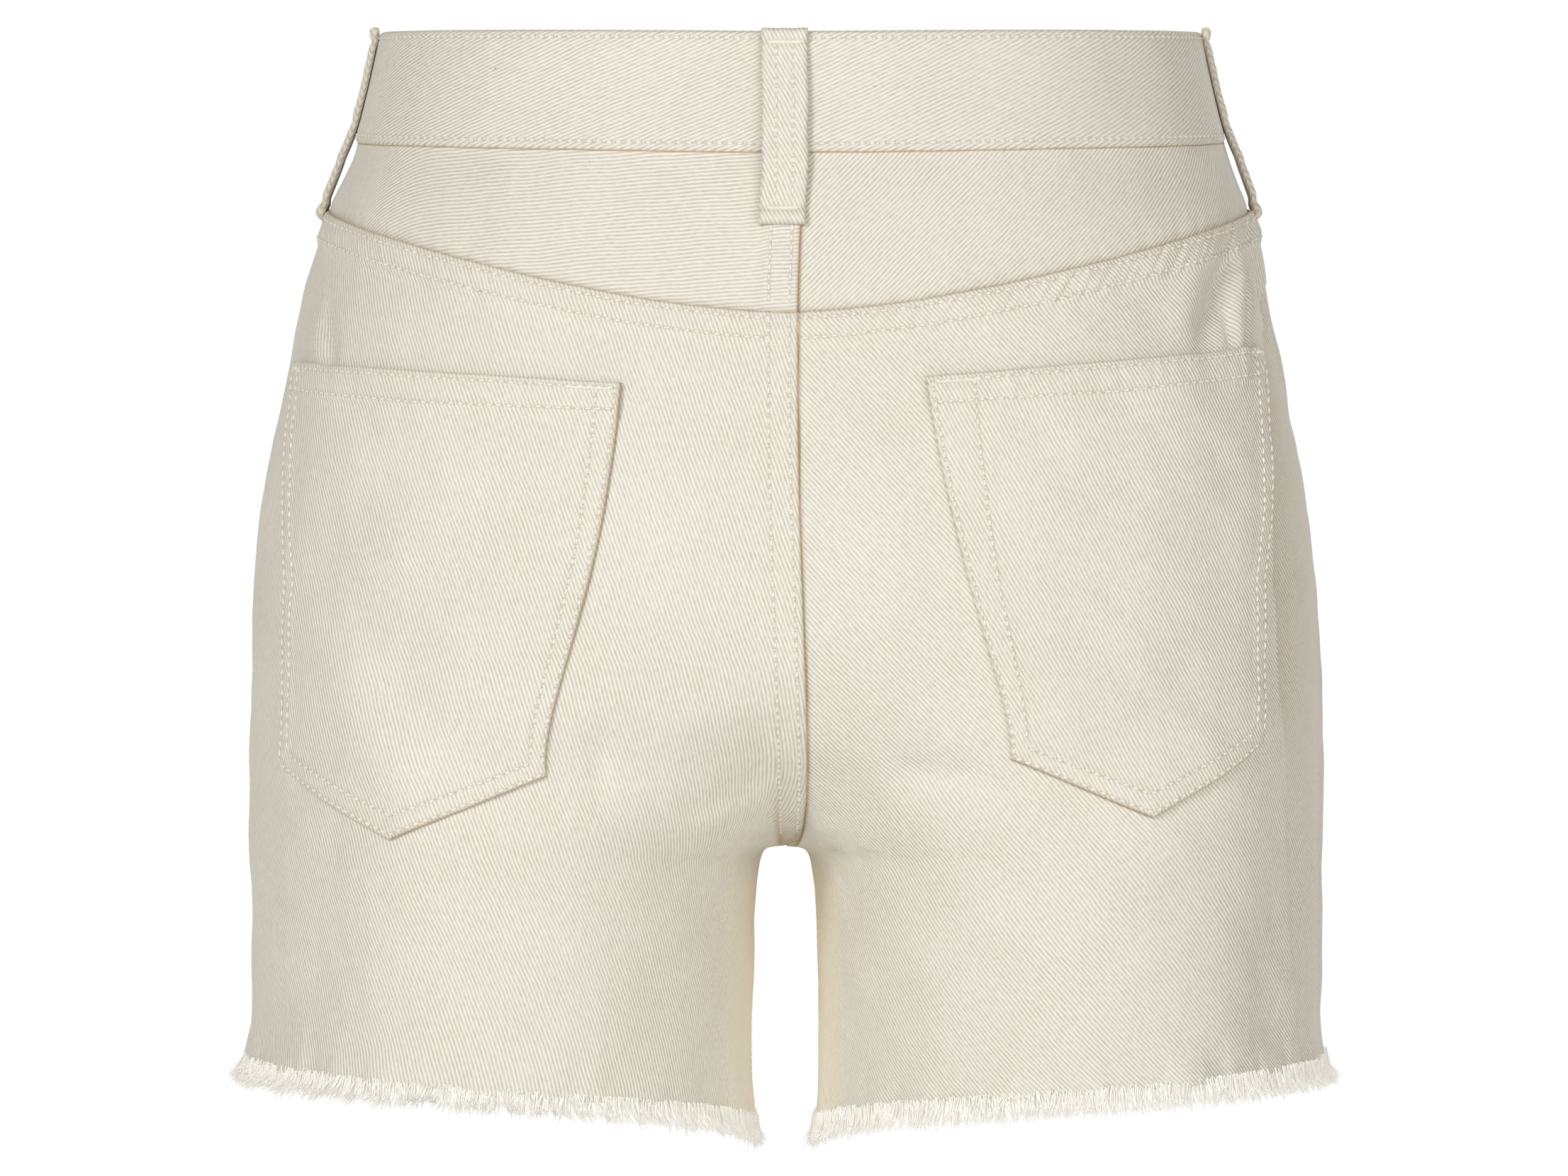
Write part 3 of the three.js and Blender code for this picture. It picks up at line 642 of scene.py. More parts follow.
@dataclass(frozen=True)
class DenimFinish:
    """Undyed cotton twill. Its map runs across the ribs and then along them, in metres."""

    name: str = "ecru_twill"
    light: tuple[float, float, float, float] = (0.872, 0.857, 0.796, 1.0)
    dark: tuple[float, float, float, float] = (0.5, 0.455, 0.35, 1.0)
    # Colour of the painted shade at seams, edges, creases and stitch rows, where shade falls.
    crevice_shade: tuple[float, float, float, float] = (0.4, 0.28, 0.14, 1.0)
    fleck: tuple[float, float, float, float] = (0.3, 0.23, 0.15, 1.0)
    # Colour of the painted glow: emission that stands in for light coming through the cloth between the legs.
    painted_glow: tuple[float, float, float, float] = (1.0, 0.72, 0.36, 1.0)
    rib_pitch: float = 1.2 * MM
    yarn_pitch: float = 0.62 * MM
    relief: float = 0.3 * MM
    rib_tone: float = 1.3
    cloud_tone: float = 0.34
    tone_level: float = 0.49
    fleck_size: float = 0.024
    fleck_rarity: float = 0.86
    painted_glow_strength: float = 0.1

    def build(self) -> bpy.types.Material:
        """Make the material.

        Returns:
            A material whose ribs, yarns, flecks, painted seam shade and painted glow are all made by nodes.
        """
        t = NodeTree(self.name)
        cloth = t.add("ShaderNodeUVMap", uv_map="cloth").outputs[0]
        split = t.add("ShaderNodeSeparateXYZ", in0=cloth)
        drift = t.add("ShaderNodeTexNoise", Vector=cloth, Scale=55.0, Detail=2.0).outputs["Fac"]
        across = t.math("MULTIPLY", split.outputs[0], 2.0 * math.pi / self.rib_pitch)
        wander = t.math("MULTIPLY", t.math("SUBTRACT", drift, 0.5), 7.0)
        phase = t.math("ADD", across, wander)
        rib = t.math("MULTIPLY_ADD", t.math("SINE", phase), 0.5, 0.5)
        lengthwise = t.math("MULTIPLY", split.outputs[1], 2.0 * math.pi / self.yarn_pitch)
        step = t.math("ADD", lengthwise, t.math("MULTIPLY", phase, 0.5))
        yarn = t.math("MULTIPLY_ADD", t.math("SINE", step), 0.5, 0.5)
        stretch = t.add("ShaderNodeMapping", Vector=cloth, Scale=(1500.0, 420.0, 1.0)).outputs[0]
        grain = t.add("ShaderNodeTexNoise", Vector=stretch, Scale=1.0, Detail=3.0).outputs["Fac"]
        cloud = t.add("ShaderNodeTexNoise", Vector=cloth, Scale=26.0, Detail=4.0).outputs["Fac"]
        woven = t.math("MULTIPLY", rib, t.math("MULTIPLY_ADD", yarn, 0.2, 0.75))
        height = t.math("MULTIPLY_ADD", woven, 0.7, t.math("MULTIPLY", grain, 0.55))
        # The colour darkens with the weave's depth, as painted shade in the twill's hollows, and varies with
        # a random cloudy tone.
        depth = t.math("SUBTRACT", 1.0, height)
        cloudy = t.math("MULTIPLY", cloud, self.cloud_tone)
        tone = t.math("ADD", t.math("MULTIPLY", depth, self.rib_tone), cloudy)
        colour = t.blend(t.math("SUBTRACT", tone, self.tone_level), self.light, self.dark)
        cells = t.add("ShaderNodeTexVoronoi", Vector=cloth, Scale=70.0)
        dot = t.math("LESS_THAN", cells.outputs["Distance"], self.fleck_size)
        pick = t.add("ShaderNodeSeparateColor", in0=cells.outputs["Color"])
        rare = t.math("GREATER_THAN", pick.outputs[0], self.fleck_rarity)
        colour = t.blend(t.math("MULTIPLY", t.math("MULTIPLY", dot, rare), 0.7), colour, self.fleck)
        # Painted shade: the seam attribute blends in the crevice shade colour at edges, creases and stitch
        # rows.
        seam = t.add("ShaderNodeAttribute", attribute_name="seam").outputs["Fac"]
        colour = t.blend(t.math("MULTIPLY", seam, 0.75), colour, self.crevice_shade)
        bump = t.add("ShaderNodeBump", Height=height, Strength=1.0, Distance=self.relief)
        # Painted glow: emission, by the glow attribute, that stands in for light coming through the cloth.
        through = t.add("ShaderNodeAttribute", attribute_name="painted_glow").outputs["Fac"]
        shader = t.add(
            "ShaderNodeBsdfPrincipled",
            Base_Color=colour,
            Emission_Color=self.painted_glow,
            Emission_Strength=t.math("MULTIPLY", through, self.painted_glow_strength),
            Roughness=0.93,
            Specular_IOR_Level=0.12,
            Sheen_Weight=0.12,
            Sheen_Roughness=0.45,
            Normal=bump.outputs[0],
        )
        return t.finish(shader.outputs[0])


@dataclass(frozen=True)
class ThreadFinish:
    """Twisted cotton thread, for the stitching and the frayed yarns."""

    name: str
    light: tuple[float, float, float, float]
    dark: tuple[float, float, float, float]
    # Colour of the painted shade at each stitch's ends, where the thread sinks into the cloth.
    painted_hole_shade: tuple[float, float, float, float] = (0.4, 0.3, 0.17, 1.0)
    # Strength of a painted glow: emission that brightens the thread as if light came through it.
    painted_glow: float = 0.0
    twist_pitch: float = 0.45 * MM
    relief: float = 0.05 * MM

    def build(self) -> bpy.types.Material:
        """Make the material.

        Returns:
            A material with a fine twist, uneven whiteness darkened in the twist's grooves as painted shade,
            painted shade at the stitch ends and a painted glow where its strength is above zero.
        """
        t = NodeTree(self.name)
        place = t.add("ShaderNodeTexCoord").outputs["Object"]
        turned = t.add("ShaderNodeMapping", Vector=place, Rotation=(0.6, 0.4, 0.8)).outputs[0]
        wave = t.add("ShaderNodeTexWave", Vector=turned, Scale=0.314 / self.twist_pitch, Distortion=1.5)
        noise = t.add("ShaderNodeTexNoise", Vector=place, Scale=900.0, Detail=2.0).outputs["Fac"]
        # The tone is also the bump's height, so the colour darkens in the twist's grooves as painted shade,
        # mixed with uneven whiteness from the noise.
        tone = t.math("MULTIPLY", t.math("ADD", wave.outputs["Fac"], noise), 0.5)
        # Painted shade: the seam attribute darkens each stitch's ends, where the thread sinks into the cloth.
        hole_shade_mask = t.add("ShaderNodeAttribute", attribute_name="seam").outputs["Fac"]
        colour = t.blend(tone, self.dark, self.light)
        colour = t.blend(t.math("MULTIPLY", hole_shade_mask, 0.75), colour, self.painted_hole_shade)
        bump = t.add("ShaderNodeBump", Height=tone, Strength=0.8, Distance=self.relief)
        shader = t.add(
            "ShaderNodeBsdfPrincipled",
            Base_Color=colour,
            Roughness=0.8,
            Specular_IOR_Level=0.2,
            Sheen_Weight=0.15,
            # Painted glow in the thread's own colour.
            Emission_Color=self.light,
            Emission_Strength=self.painted_glow,
            Normal=bump.outputs[0],
        )
        return t.finish(shader.outputs[0])


@dataclass(frozen=True)
class MetalFinish:
    """Brushed button metal, duller in places."""

    name: str = "button_metal"
    bright: tuple[float, float, float, float] = (0.62, 0.59, 0.54, 1.0)
    dull: tuple[float, float, float, float] = (0.36, 0.33, 0.29, 1.0)

    def build(self) -> bpy.types.Material:
        """Make the material.

        Returns:
            A metal with fine scratches and a duller tone in places.
        """
        t = NodeTree(self.name)
        place = t.add("ShaderNodeTexCoord").outputs["Object"]
        scratch = t.add("ShaderNodeTexNoise", Vector=place, Scale=2600.0, Detail=4.0).outputs["Fac"]
        cloud = t.add("ShaderNodeTexNoise", Vector=place, Scale=340.0, Detail=3.0).outputs["Fac"]
        colour = t.blend(cloud, self.bright, self.dull)
        rough = t.math("MULTIPLY_ADD", scratch, 0.3, 0.2)
        bump = t.add("ShaderNodeBump", Height=scratch, Strength=0.5, Distance=0.02 * MM)
        shader = t.add(
            "ShaderNodeBsdfPrincipled",
            Base_Color=colour,
            Metallic=1.0,
            Roughness=rough,
            Normal=bump.outputs[0],
        )
        return t.finish(shader.outputs[0])


class Finishes:
    """The materials, each made once."""

    def __init__(self) -> None:
        """Make every material of the garment."""
        self.denim = DenimFinish().build()
        self.thread = ThreadFinish("stitch_thread", (0.97, 0.958, 0.92, 1), (0.86, 0.835, 0.76, 1)).build()
        pale = (0.965, 0.955, 0.92, 1)
        # The frayed yarns get a painted glow that brightens them as if light came through.
        self.fray = ThreadFinish("frayed_yarn", pale, (0.88, 0.86, 0.8, 1), painted_glow=0.13).build()
        self.metal = MetalFinish().build()


def new_piece(name: str, points: Array, faces: Array, material: bpy.types.Material) -> bpy.types.Object:
    """Make a smooth mesh object from arrays.

    Args:
        name: Name of the piece.
        points: Its points, in metres.
        faces: Its faces, four or three point numbers in each row.
        material: Its material.

    Returns:
        The object, linked into the scene and riding on the garment's body.

    Raises:
        ValueError: A point isn't a number.
    """
    if not np.isfinite(points).all():
        raise ValueError(f"{name} has points that are not numbers")
    mesh = bpy.data.meshes.new(name)
    flat = np.ascontiguousarray(faces, dtype=np.int32)
    corners = flat.shape[1]
    mesh.vertices.add(len(points))
    mesh.vertices.foreach_set("co", np.ascontiguousarray(points, dtype=np.float32).ravel())
    mesh.loops.add(flat.size)
    mesh.loops.foreach_set("vertex_index", flat.ravel())
    mesh.polygons.add(len(flat))
    mesh.polygons.foreach_set("loop_start", np.arange(0, flat.size, corners, dtype=np.int32))
    mesh.update(calc_edges=True)
    mesh.polygons.foreach_set("use_smooth", np.ones(len(flat), dtype=bool))
    mesh.materials.append(material)
    mesh.validate()
    piece = bpy.data.objects.new(name, mesh)
    bpy.context.scene.collection.objects.link(piece)
    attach(piece, BODY)
    return piece


@dataclass
class ClothShell:
    """A thin closed shell of cloth, made from the places of a grid."""

    name: str
    outer: Array
    inner: Array
    cloth_map: Array
    # The seam values are painted shade at edges, stitch rows and creases; the glow values are a painted glow.
    seam: Array
    painted_glow: Array | None = None

    def build(self, material: bpy.types.Material) -> bpy.types.Object:
        """Make the shell's mesh, its cloth map, its painted seam shade and its painted glow.

        Args:
            material: The shell's finish.

        Returns:
            The piece.
        """
        rows, columns = self.outer.shape[:2]
        index = np.arange(rows * columns).reshape(rows, columns)
        a = index[:-1, :-1].ravel()
        b = index[:-1, 1:].ravel()
        c = index[1:, 1:].ravel()
        d = index[1:, :-1].ravel()
        step = rows * columns
        rim = np.concatenate([index[0, :-1], index[:-1, -1], index[-1, :0:-1], index[:0:-1, 0]])
        follow = np.roll(rim, -1)
        faces = np.concatenate(
            [
                np.stack([a, b, c, d], axis=1),
                np.stack([d, c, b, a], axis=1) + step,
                np.stack([follow, rim, rim + step, follow + step], axis=1),
            ]
        )
        if self.faces_inwards():
            faces = faces[:, ::-1]
        points = np.concatenate([self.outer.reshape(-1, 3), self.inner.reshape(-1, 3)])
        piece = new_piece(self.name, points, faces, material)
        uv = np.concatenate([self.cloth_map.reshape(-1, 2)] * 2)
        layer = piece.data.uv_layers.new(name="cloth")
        loops = np.zeros(len(piece.data.loops), dtype=np.int32)
        piece.data.loops.foreach_get("vertex_index", loops)
        layer.data.foreach_set("uv", uv[loops].astype(np.float32).ravel())
        # Painted shade and painted glow, on the points of both faces.
        painted_glow = np.zeros(self.seam.shape) if self.painted_glow is None else self.painted_glow
        for name, value in (("seam", self.seam), ("painted_glow", painted_glow)):
            layer = piece.data.attributes.new(name, "FLOAT", "POINT")
            both = np.concatenate([value.ravel()] * 2).astype(np.float32)
            layer.data.foreach_set("value", both)
        return piece

    def faces_inwards(self) -> bool:
        """Tell whether the grid's own turn points its faces inwards."""
        side_a = self.outer[1:, :-1] - self.outer[:-1, :-1]
        side_b = self.outer[:-1, 1:] - self.outer[:-1, :-1]
        up = np.cross(side_b, side_a)
        away = self.outer[:-1, :-1] - self.inner[:-1, :-1]
        return float(np.sum(up * away)) < 0.0


def twill_map(half: Side, along: Array, drop: Array, lean: float) -> Array:
    """Cloth map whose first axis runs across the twill's ribs.

    Args:
        half: Side of the garment.
        along: Distances round the cloth, in millimetres.
        drop: Distances down the cloth.
        lean: Ribs' angle above level, in degrees, rising towards the wearer's right as seen
            from the back.

    Returns:
        The map, in metres.
    """
    turn = math.radians(lean)
    u = half * along * math.sin(turn) + drop * math.cos(turn)
    v = half * along * math.cos(turn) - drop * math.sin(turn)
    return MM * np.stack([u, v], axis=-1)


def lip(distance: Array, thickness: float) -> Array:
    """How far an edge rolls in at a distance from it, so that it looks folded, not cut."""
    return 0.55 * thickness * np.exp(-((np.maximum(distance, 0.0) / 0.42) ** 1.3))


def walk(line: Array) -> Array:
    """Distances along a line of points."""
    step = np.linalg.norm(np.diff(line, axis=0), axis=1)
    return np.concatenate([[0.0], np.cumsum(step)])


def points_at(line: Array, run: Array, at: Array) -> Array:
    """Points of a line at distances along it."""
    return np.stack([np.interp(at, run, line[:, k]) for k in range(3)], axis=-1)


@dataclass
class Stitching:
    """A batch of sewn stitches, each a small raised bead of thread."""

    name: str
    length: float = 2.55
    pitch: float = 3.2
    half_width: float = 0.42
    half_height: float = 0.3
    beads: list[Array] = field(default_factory=list)
    ups: list[Array] = field(default_factory=list)
    widths: list[float] = field(default_factory=list)

    def row(self, line: Array, above: Array, seed: int) -> None:
        """Sew along a line of cloth points.

        Args:
            line: Points of the cloth along the row, in metres.
            above: The same points one millimetre further out.
            seed: Number that picks the small differences between stitches.
        """
        rng = np.random.default_rng(seed)
        run = walk(line)
        pitch = self.pitch * MM
        count = int(run[-1] / pitch)
        if count < 1:
            return
        start = (np.arange(count) + 0.1) * pitch + rng.normal(0.0, 0.05 * MM, count)
        long = self.length * MM * rng.uniform(0.92, 1.05, count)
        along = start[:, None] + long[:, None] * np.array([0.0, 0.16, 0.5, 0.84, 1.0])
        bead = points_at(line, run, along)
        high = points_at(above, run, along)
        up = (high - bead)[:, 2] / MM
        lift = np.array([-0.04, 0.16, 0.26, 0.16, -0.04]) * MM
        bead = bead + up[:, None, :] * lift[None, :, None]
        forward = bead[:, -1] - bead[:, 0]
        side = unit(np.cross(forward, up))
        slant = rng.normal(0.0, 0.09, count)[:, None, None] * MM
        bead = bead + side[:, None, :] * slant * np.array([-1, -0.6, 0, 0.6, 1])[None, :, None]
        self.beads.append(bead)
        self.ups.append(up)
        self.widths.append(self.half_width)

    def bar(self, line: Array, above: Array, width: float) -> None:
        """Sew a bar tack: close stitches across a short line.

        Args:
            line: Points along the bar, in metres.
            above: The same points one millimetre further out.
            width: Width of the bar, in millimetres.
        """
        run = walk(line)
        count = max(int(run[-1] / (0.5 * MM)), 2)
        at = np.linspace(0.0, run[-1], count)
        middle = points_at(line, run, at)
        high = points_at(above, run, at)
        up = (high - middle) / MM
        forward = np.gradient(middle, axis=0)
        side = unit(np.cross(forward, up))
        reach = width / 2 * MM * np.array([-1.0, -0.7, 0.0, 0.7, 1.0])
        lift = np.array([-0.2, 0.14, 0.26, 0.14, -0.2]) * MM
        bead = middle[:, None, :] + side[:, None, :] * reach[None, :, None]
        self.beads.append(bead + up[:, None, :] * lift[None, :, None])
        self.ups.append(up)
        self.widths.append(0.3)

    def build(self, material: bpy.types.Material) -> bpy.types.Object:
        """Join all the stitches into one mesh.

        Args:
            material: The thread's finish.

        Returns:
            The piece.
        """
        taper = np.array([0.62, 0.95, 1.0, 0.95, 0.62])
        turn = np.arange(6) * math.pi / 3
        points = []
        for bead, up, width in zip(self.beads, self.ups, self.widths):
            forward = bead[:, -1] - bead[:, 0]
            side = unit(np.cross(forward, up))
            wide = side[:, None, None, :] * (width * MM * np.cos(turn))[None, None, :, None]
            tall = up[:, None, None, :] * (self.half_height * MM * np.sin(turn))[None, None, :, None]
            ring = (wide + tall) * taper[None, :, None, None]
            points.append((bead[:, :, None, :] + ring).reshape(-1, 3))
        cloud = np.concatenate(points)
        count = len(cloud) // 30
        piece = new_piece(self.name, cloud, tube_faces(count, 5, 6), material)
        # Painted shade: the end rings of each bead are marked darkest, where the thread sinks into the cloth.
        hole_shade_mask = np.repeat(np.tile(np.array([1.0, 0.35, 0.0, 0.35, 1.0]), count), 6)
        shade = piece.data.attributes.new("seam", "FLOAT", "POINT")
        shade.data.foreach_set("value", hole_shade_mask.astype(np.float32))
        return piece


def tube_faces(count: int, rings: int, sides: int) -> Array:
    """Faces of many equal tubes, closed at both ends by folding the end rings flat.

    Args:
        count: Number of tubes.
        rings: Rings in each tube.
        sides: Points in each ring, an even number or three.

    Returns:
        Rows of four point numbers.
    """
    one = []
    for ring in range(rings - 1):
        for k in range(sides):
            a = ring * sides + k
            b = ring * sides + (k + 1) % sides
            one.append((a, b, b + sides, a + sides))
    last = (rings - 1) * sides
    if sides == 6:
        one.extend([(3, 2, 1, 0), (5, 4, 3, 0)])
        one.extend([(last, last + 1, last + 2, last + 3), (last, last + 3, last + 4, last + 5)])
    pattern = np.array(one)
    start = np.arange(count)[:, None, None] * rings * sides
    return (pattern[None, :, :] + start).reshape(-1, 4)


class Garment:
    """Shared list of the pieces, which hides the solids that they stand for."""

    def __init__(self, finishes: Finishes) -> None:
        """Start with the finishes and no pieces."""
        self.finishes = finishes
        self.pieces: list[str] = []

    def keep(self, piece: bpy.types.Object, slot: str, *nodes: str) -> None:
        """List a piece and hide the solids that it stands for.

        Args:
            piece: The piece.
            slot: Material slot of the record; not used.
            *nodes: Solids that it replaces.
        """
        if nodes:
            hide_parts(*nodes)
        self.pieces.append(piece.name)
        log.info("%s: %d faces", piece.name, len(piece.data.polygons))

    def dress(self, shell: ClothShell, slot: str, node: str) -> bpy.types.Object:
        """Build the cloth shell that stands for a solid, and keep it."""
        piece = shell.build(self.finishes.denim)
        self.keep(piece, slot, node)
        return piece


def hem_wave(half: Side, share: Array, drop: Array, side: float) -> Array:
    """Height of the soft waves in the cut hem.

    Args:
        half: Side of the garment.
        share: Share of the way from the inseam to the side seam.
        drop: Drops of the places.
        side: 0 at the back and 1 at the front.

    Returns:
        Heights in millimetres, the same on both sides of a seam.
    """
    turn = 300.0 * mix(share, 2.0 - share, side)
    long = ripple(turn, 29.0, 31 + half)
    wave = 1.2 + 0.9 * long + 0.3 * ripple(turn, 9.0, 37 + half)
    above = CUT.hem(share) - drop
    return smooth((HEM_REACH - above) / HEM_REACH) * wave


@dataclass
class CentreLap:
    """The felled centre seam, where the wearer's left side folds over the right.

    Near the crotch the legs' cloth swells on both sides of it, and it sinks between them.
    Each swell starts at a crease: on the left it slants up to the seam, and on the right it
    leaves the seam level and bends down the leg.
    """

    past_top: float = 3.9
    past_foot: float = 7.4
    drift_start: float = 120.0
    drift_length: float = 140.0
    width: float = 10.2
    height: float = 1.25
    rows: tuple[float, ...] = (2.6, 9.2)
    swell: float = 2.3
    left_crease: tuple[float, float, float] = (8.0, 241.6, 0.44)
    right_crease: tuple[float, float, float] = (16.4, 251.8, 0.28)
    bend: float = 4.5

    def past(self, drop: Array) -> Array:
        """Distance by which the lap runs past the centre line."""
        return mix(self.past_top, self.past_foot, ease_in(drop, self.drift_start, self.drift_length))

    def edge(self, half: Side, drop: Array) -> Array:
        """Distance of a piece's centre edge from the centre line.

        Args:
            half: Side of the garment.
            drop: Drops along the edge.

        Returns:
            Distances, below zero where the piece runs past the line.
        """
        if half < 0:
            return np.full(np.shape(drop), SEAM_HALF_GAP)
        above = ease_out(drop - FORM.crotch_drop, -2.0, 2.0)
        return mix(SEAM_HALF_GAP, -self.past(drop), above)

    def sides(self, half: Side, centre: Array, drop: Array) -> Array:
        """Distance from the near side of the felled seam, on the plain cloth beside it."""
        near = self.width - self.past(drop) if half > 0 else self.past(drop)
        return centre - near

    def swelling(self, half: Side, along: Array, drop: Array) -> Array:
        """Height of the swell beside the seam at the crotch, and of the trough above it.

        Args:
            half: Side of the garment.
            along: Distances from the side seam.
            drop: Drops of the places.

        Returns:
            Heights in millimetres.
        """
        side, x, y, _, _ = FORM.surface(half, along, drop)
        x = np.where(side == half, x, -x)
        facing = ease_in(y, 45.0, 45.0)
        if half > 0:
            start, level, slope = self.left_crease
            above = 0.91 * (drop - level - slope * (x - start))
            beside = x - 3.6
            fade = ease_out(x, 16.0, 24.0) * ease_out(drop, 256.0, 44.0)
        else:
            start, level, slope = self.right_crease
            above = drop - level
            beside = start + slope * (drop - level) - x
            fade = ease_out(drop, 262.0, 20.0) * ease_in(x, 6.5, 3.0)
        corner = self.bend - np.hypot(np.maximum(self.bend - above, 0.0), np.maximum(self.bend - beside, 0.0))
        near = np.maximum(above, beside) < self.bend
        inside = np.where(near, corner, np.minimum(above, beside))
        raised = ease_in(inside, -0.8, 4.5) - 0.42 * bell(inside + 3.0, 3.4)
        return self.swell * facing * fade * raised

    def relief(self, half: Side, along: Array, drop: Array) -> Array:
        """Height of the lap, and of the swell beside it, over the plain cloth."""
        centre = FORM.back(drop) - along
        swell = self.swelling(half, along, drop)
        if half < 0:
            return swell
        inside = centre - self.edge(half, drop)
        above = ease_out(drop - FORM.crotch_drop, -6.0, 6.0)
        low = ease_in(drop, 236.0, 16.0)
        pucker = 0.16 * ripple(drop, 6.5, 11) + 0.5 * low * ripple(drop, 3.4, 13)
        pull = pucker * bell(inside - 5.8, 4.0)
        raised = self.height * ease_out(inside, self.width, 2.6)
        return swell + above * (raised + pull - ROW_DENT * groove(inside, self.rows))

    def seam(self, half: Side, centre: Array, drop: Array) -> Array:
        """Painted shade along the lap's edge and rows, in the creases beside it and at its foot."""
        beside = self.sides(half, centre, drop)
        above = ease_out(drop - FORM.crotch_drop, -1.0, 6.0)
        crease = 0.5 * ease_in(drop, 243.0, 12.0) * bell(beside, 1.5)
        crease = crease + 0.6 * ease_in(drop, 253.0, 7.0) * (beside < 0)
        if half < 0:
            return above * (0.95 * bell(beside - 0.1, 0.7) + crease)
        inside = centre - self.edge(half, drop)
        line = 0.9 * np.exp(-inside / 0.45) + 0.1 * groove(inside, self.rows, 0.5)
        return above * (line + crease)


LAP = CentreLap()


def painted_inner_glow(half: Side, along: Array, drop: Array) -> Array:
    """Painted glow: emission that stands in for light coming through the cloth between the legs, where little
    reaches its outside.
    """
    _, x, y, _, _ = FORM.surface(half, along, drop)
    sheltered = smooth((84.0 - np.abs(y)) / 40.0) * ease_out(x, 10.0, 14.0)
    return sheltered * ease_in(drop - FORM.crotch_drop, 1.0, 14.0)


def meeting_drop(curve: Callable, along_at: Callable, place: Array, nominal: float) -> Array:
    """Drop at which each column of a grid meets a line of the cut.

    Args:
        curve: Gives the line's drop at a share of the way to the side seam.
        along_at: Gives a column's distance from the side seam at a drop.
        place: Places of the columns.
        nominal: Place of the last column.

    Returns:
        A drop for each column.
    """
    drop = curve(clamp(place / nominal, 0.0, 1.0))
    for _ in range(4):
        drop = curve(FORM.share(along_at(place, drop), drop))
    return drop


def column_along(place: Array, drop: Array, nominal: float, length_at: Callable, edge: Array) -> Array:
    """Distance from the side seam of a panel's grid column at a drop.

    Columns near the centre keep their distance from it, and those near the side keep their
    share of the way round. Those in between spread where the cloth turns under.

    Args:
        place: Place of the column across the panel, from 0 at the centre to nominal.
        drop: Drops along it.
        nominal: Place of the last column.
        length_at: Gives the distance from the side seam to the centre at a drop.
        edge: Distance of the panel's centre edge from the centre line.

    Returns:
        Distances above zero.
    """
    length = length_at(drop)
    plain = length_at(np.minimum(drop, FORM.grain_drop))
    hub = plain * (1.0 - FAR_COLUMNS / nominal)
    near = length - mix(edge, NEAR_COLUMNS, place / NEAR_COLUMNS)
    t = (place - NEAR_COLUMNS) / (FAR_COLUMNS - NEAR_COLUMNS)
    middle = mix(length - NEAR_COLUMNS, hub, t)
    far = plain * (1.0 - place / nominal)
    between = np.where(place < FAR_COLUMNS, middle, far)
    return np.maximum(np.where(place < NEAR_COLUMNS, near, between), 0.1)


def panel_rows(place: Array, top: Array, hem: Array, head: Array, trunk_rows: int) -> Array:
    """Drops of a panel's grid rows at each column.

    At the centre the rows lie close together where the rise curve turns under.

    Args:
        place: Places of the columns.
        top: Drop of the panel's top at each column.
        hem: Drop of the raw hem at each column.
        head: Depths of the close rows at the top.
        trunk_rows: Number of rows above the rise curve.

    Returns:
        Drops, one row of the grid in each row.
    """
    tail = np.array([7.0, 5.5, 4.2, 3.0, 2.0, 1.2, 0.6, 0.25, 0.0])
    first = (top + head[-1])[None, :]
    last = (hem - tail[0])[None, :]
    curve_start = FORM.crotch_drop - FORM.rise_curve
    trunk = mix(first, curve_start, np.linspace(0.0, 1.0, trunk_rows)[1:-1, None])
    rise = curve_start + FORM.rise_curve * np.sin(np.linspace(0.0, math.pi / 2, 34))[:, None]
    leg = mix(FORM.crotch_drop, last, np.linspace(0.0, 1.0, 28)[1:-1, None] ** 1.8)
    middle = np.concatenate([trunk, np.broadcast_to(rise, (len(rise), len(place))), leg])
    spaced = mix(first, last, np.linspace(0.0, 1.0, len(middle) + 2)[1:-1, None])
    body = mix(middle, spaced, smooth(place / 130.0)[None, :])
    return np.concatenate([top + head[:, None], body, hem - tail[:, None]])


class SewnCloth:
    """Cloth of one half of the garment that takes rows of stitches on its outer face."""

    half: Side

    def relief(self, along: Array, drop: Array) -> Array:
        """Height of the outer face over the form."""
        raise NotImplementedError

    def sew_line(self, thread: Stitching, along: Array, drop: Array, seed: int) -> None:
        """Sew one row at distances from the side seam."""
        height = self.relief(along, drop)
        line = FORM.points(self.half, along, drop, height)
        thread.row(line, FORM.points(self.half, along, drop, height + 1.0), seed)


